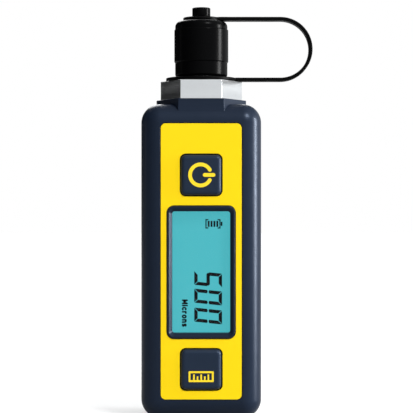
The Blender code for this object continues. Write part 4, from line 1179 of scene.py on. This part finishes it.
def grip_ribs(material):
    """Row of low ribs in the recess at the foot of the door, just below its face."""
    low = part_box("battery_door")[0]
    crown = 0.15 * MM
    top = BACK - 0.06 * MM
    corner = RIB_SIZE / 2 - 0.01 * MM
    sections = [(BACK - RIB_RECESS - 0.1 * MM, RIB_WIDTH, RIB_SIZE, corner),
                (top - crown, RIB_WIDTH, RIB_SIZE, corner),
                (top, RIB_WIDTH - 2 * crown, RIB_SIZE - 2 * crown, corner - crown)]
    template = mesh_piece("rib", slab(sections, (0.0, 0.0), 6))
    template.data.shade_smooth()
    template.data.set_sharp_from_angle(angle=radians(60))
    tree, sockets, start, end = node_group(
        "rib_row", Spacing="NodeSocketVector", First="NodeSocketVector", Count="NodeSocketInt",
        Rib="NodeSocketObject", Material="NodeSocketMaterial")
    row = tree.nodes.new("GeometryNodeMeshLine")
    for source, target in (("Spacing", "Offset"), ("First", "Start Location"),
                           ("Count", "Count")):
        link(tree, start.outputs[source], row.inputs[target])
    info = tree.nodes.new("GeometryNodeObjectInfo")
    link(tree, start.outputs["Rib"], info.inputs["Object"])
    set_out = tree.nodes.new("GeometryNodeInstanceOnPoints")
    link(tree, row.outputs["Mesh"], set_out.inputs["Points"])
    link(tree, info.outputs["Geometry"], set_out.inputs["Instance"])
    close_tree(tree, set_out.outputs["Instances"], start, end)
    item = grow("grip_ribs", tree, sockets, Spacing=(0.0, 0.0, RIB_PITCH), Count=RIB_COUNT,
                Rib=template, First=(0.0, 0.0, low.z + RIB_FOOT), Material=material)
    bpy.data.objects.remove(template, do_unlink=True)
    place(item, material, "battery_door", "navy_plastic")


def cell(name, node, nub_up, material):
    """AAA cell with rolled edges and its nub."""
    low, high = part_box(node)
    centre = ((low.x + high.x) / 2, (low.y + high.y) / 2, 0.0)
    radius = (high.x - low.x) / 2
    length = high.z - low.z
    profile = [(radius - 1.2 * MM, 0.0), (radius - 0.9 * MM, 0.12 * MM)]
    profile += corner_arc((radius - 0.3 * MM, 0.35 * MM), 0.3 * MM, -90, 0, 4)
    profile += corner_arc((radius - 0.3 * MM, length - 1.35 * MM), 0.3 * MM, 0, 90, 4)
    profile += [(radius - 0.8 * MM, length - 1.15 * MM), (1.9 * MM, length - 1.0 * MM)]
    profile += corner_arc((1.6 * MM, length - 0.3 * MM), 0.3 * MM, 0, 90, 4)
    if nub_up:
        profile = [(r, low.z + h) for r, h in profile]
    else:
        profile = [(r, high.z - h) for r, h in profile]
    item = mesh_piece(name, turned(profile, centre))
    place(smooth(item), material, "root", "cell_jacket", node)


def coil_spring(name, node, low_radius, high_radius, tree, sockets, material):
    low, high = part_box(node)
    wire = 0.25 * MM
    item = grow(name, tree, sockets, Low_Radius=low_radius, High_Radius=high_radius, Turns=3.0,
                Rise=high.z - low.z - 2 * wire, Profile=wire, Sides=12, Steps=48, Fade=1000.0,
                Material=material)
    middle = ((low.x + high.x) / 2, (low.y + high.y) / 2, low.z + wire)
    item.data.transform(Matrix.Translation(middle))
    place(item, material, "root", "tinned_metal", node)


# ---------------------------------------------------------------- studio

def floor_material():
    """Pale floor that fades into a white surround and keeps a soft shadow."""
    material = bpy.data.materials.new("studio_floor")
    material.use_nodes = True
    tree = material.node_tree
    tree.nodes.clear()
    diffuse = new_node(tree, "ShaderNodeBsdfDiffuse")
    diffuse.inputs["Color"].default_value = (0.42, 0.42, 0.42, 1.0)
    glow = new_node(tree, "ShaderNodeEmission")
    glow.inputs["Color"].default_value = (1.0, 1.0, 1.0, 1.0)
    path = new_node(tree, "ShaderNodeLightPath")
    seen = new_node(tree, "ShaderNodeMath", operation="ADD", use_clamp=True)
    link(tree, path.outputs["Is Camera Ray"], seen.inputs[0])
    link(tree, path.outputs["Is Transmission Ray"], seen.inputs[1])
    level = new_node(tree, "ShaderNodeMath", operation="MULTIPLY")
    level.inputs[1].default_value = 0.62
    link(tree, seen.outputs[0], level.inputs[0])
    link(tree, level.outputs[0], glow.inputs["Strength"])
    both = new_node(tree, "ShaderNodeAddShader")
    link(tree, diffuse.outputs[0], both.inputs[0])
    link(tree, glow.outputs[0], both.inputs[1])
    output = new_node(tree, "ShaderNodeOutputMaterial")
    link(tree, both.outputs[0], output.inputs["Surface"])
    return material


def studio_floor():
    item = mesh_piece("studio_floor", block((-3, -3, -0.02), (3, 3, 0.0)))
    item.data.materials.append(floor_material())


def studio_world():
    """White surround for the camera; a soft studio, darker to the left, for the object."""
    world = bpy.data.worlds.new("studio")
    bpy.context.scene.world = world
    world.use_nodes = True
    tree = world.node_tree
    tree.nodes.clear()
    direction = new_node(tree, "ShaderNodeTexCoord").outputs["Generated"]
    turn = new_node(tree, "ShaderNodeVectorMath", operation="DOT_PRODUCT")
    turn.inputs[1].default_value = (0.90, -0.42, 0.10)
    link(tree, direction, turn.inputs[0])
    ramp = new_node(tree, "ShaderNodeMapRange", interpolation_type="SMOOTHSTEP")
    for key, value in (("From Min", -0.80), ("From Max", 0.90), ("To Min", 0.02),
                       ("To Max", 1.05)):
        ramp.inputs[key].default_value = value
    link(tree, turn.outputs["Value"], ramp.inputs["Value"])
    room = new_node(tree, "ShaderNodeBackground")
    room.inputs["Color"].default_value = (0.95, 0.98, 1.0, 1.0)
    link(tree, ramp.outputs["Result"], room.inputs["Strength"])
    white = new_node(tree, "ShaderNodeBackground")
    white.inputs["Color"].default_value = (1.0, 1.0, 1.0, 1.0)
    path = new_node(tree, "ShaderNodeLightPath")
    seen = new_node(tree, "ShaderNodeMath", operation="ADD", use_clamp=True)
    link(tree, path.outputs["Is Camera Ray"], seen.inputs[0])
    link(tree, path.outputs["Is Transmission Ray"], seen.inputs[1])
    pick = new_node(tree, "ShaderNodeMixShader")
    link(tree, seen.outputs[0], pick.inputs[0])
    link(tree, room.outputs[0], pick.inputs[1])
    link(tree, white.outputs[0], pick.inputs[2])
    output = new_node(tree, "ShaderNodeOutputWorld")
    link(tree, pick.outputs[0], output.inputs["Surface"])


def lamp(name, kind, energy, direction, distance=0.6, size=(0.2, 0.2), angle=12):
    """Lamp that shines from a direction at the middle of the object."""
    data = bpy.data.lights.new(name, kind)
    data.energy = energy
    if kind == "SUN":
        data.angle = radians(angle)
    else:
        data.shape = "RECTANGLE"
        data.size, data.size_y = size
    item = bpy.data.objects.new(name, data)
    heading = Vector(direction).normalized()
    item.location = Vector((0, 0, 0.055)) + heading * distance
    item.rotation_euler = heading.to_track_quat("Z", "Y").to_euler()
    bpy.context.scene.collection.objects.link(item)


def studio_lamps():
    lamp("key", "SUN", 2.3, (0.43, -0.61, 0.66), angle=14)
    lamp("right_strip", "AREA", 6.0, (1.0, -0.06, 0.02), 0.5, (0.10, 0.40))
    lamp("left_strip", "AREA", 0.04, (-0.99, 0.16, 0.02), 0.5, (0.05, 0.40))
    lamp("back_fill", "SUN", 1.1, (-0.10, 0.80, 0.55), angle=30)


def studio_camera():
    """Level view of the front, a little right of the axis, at two thirds height."""
    data = bpy.data.cameras.new("camera")
    data.lens = 143.8
    data.sensor_width = 36.0
    item = bpy.data.objects.new("camera", data)
    item.location = (1.41 * MM, -447.5 * MM, 56.37 * MM)
    item.rotation_euler = (radians(90), 0, 0)
    bpy.context.scene.collection.objects.link(item)
    bpy.context.scene.camera = item


# ---------------------------------------------------------------- assembly

def dress_nodes(materials):
    """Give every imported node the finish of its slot."""
    for part in frame["record"]["subparts"]:
        for entry in frame["nodes"][part["node"]].material_slots:
            entry.material = materials[part["material_slot"]]


def build():
    studio_camera()
    studio_world()
    studio_lamps()
    studio_floor()
    bpy.context.scene.view_settings.view_transform = "Standard"

    makers = (navy_plastic, key_plastic, overlay_film, cap_plastic, strap_rubber, seal_rubber,
              nickel_plate, screw_steel, tinned_metal, display_glass, light_guide,
              board_laminate, black_moulding, header_glass, cell_jacket)
    materials = {maker.__name__: maker() for maker in makers}
    materials["clear_window"] = window_plastic()
    dress_nodes(materials)
    ink = sign_ink()
    marks = display_ink()

    front_shell(materials["navy_plastic"])
    rear_shell(materials["navy_plastic"])
    face_panel(materials["overlay_film"])
    key_cap("power_key", "power_button", "power_button", materials["key_plastic"])
    key_cap("units_key", "units_button", "units_button", materials["key_plastic"])
    power_sign(ink)
    ruler_sign(ink)
    display_marks(marks)
    unit_word(marks)

    tree, sockets = wound_tree()
    low, high = flare_fitting(materials["nickel_plate"])
    flare_thread(tree, sockets, low, high, materials["nickel_plate"])
    dust_cap(materials["cap_plastic"])
    cap_strap(materials["strap_rubber"])

    case_screws(materials["screw_steel"])
    door_screw(materials["screw_steel"])
    cell_door(materials["navy_plastic"])
    grip_ribs(materials["navy_plastic"])
    cell("left_cell", "battery_cell_left", True, materials["cell_jacket"])
    cell("right_cell", "battery_cell_right", False, materials["cell_jacket"])
    wide, narrow = 3.65 * MM, 2.25 * MM
    coil_spring("lower_spring", "left_spring", wide, narrow, tree, sockets,
                materials["tinned_metal"])
    coil_spring("upper_spring", "right_spring", narrow, wide, tree, sockets,
                materials["tinned_metal"])


build()
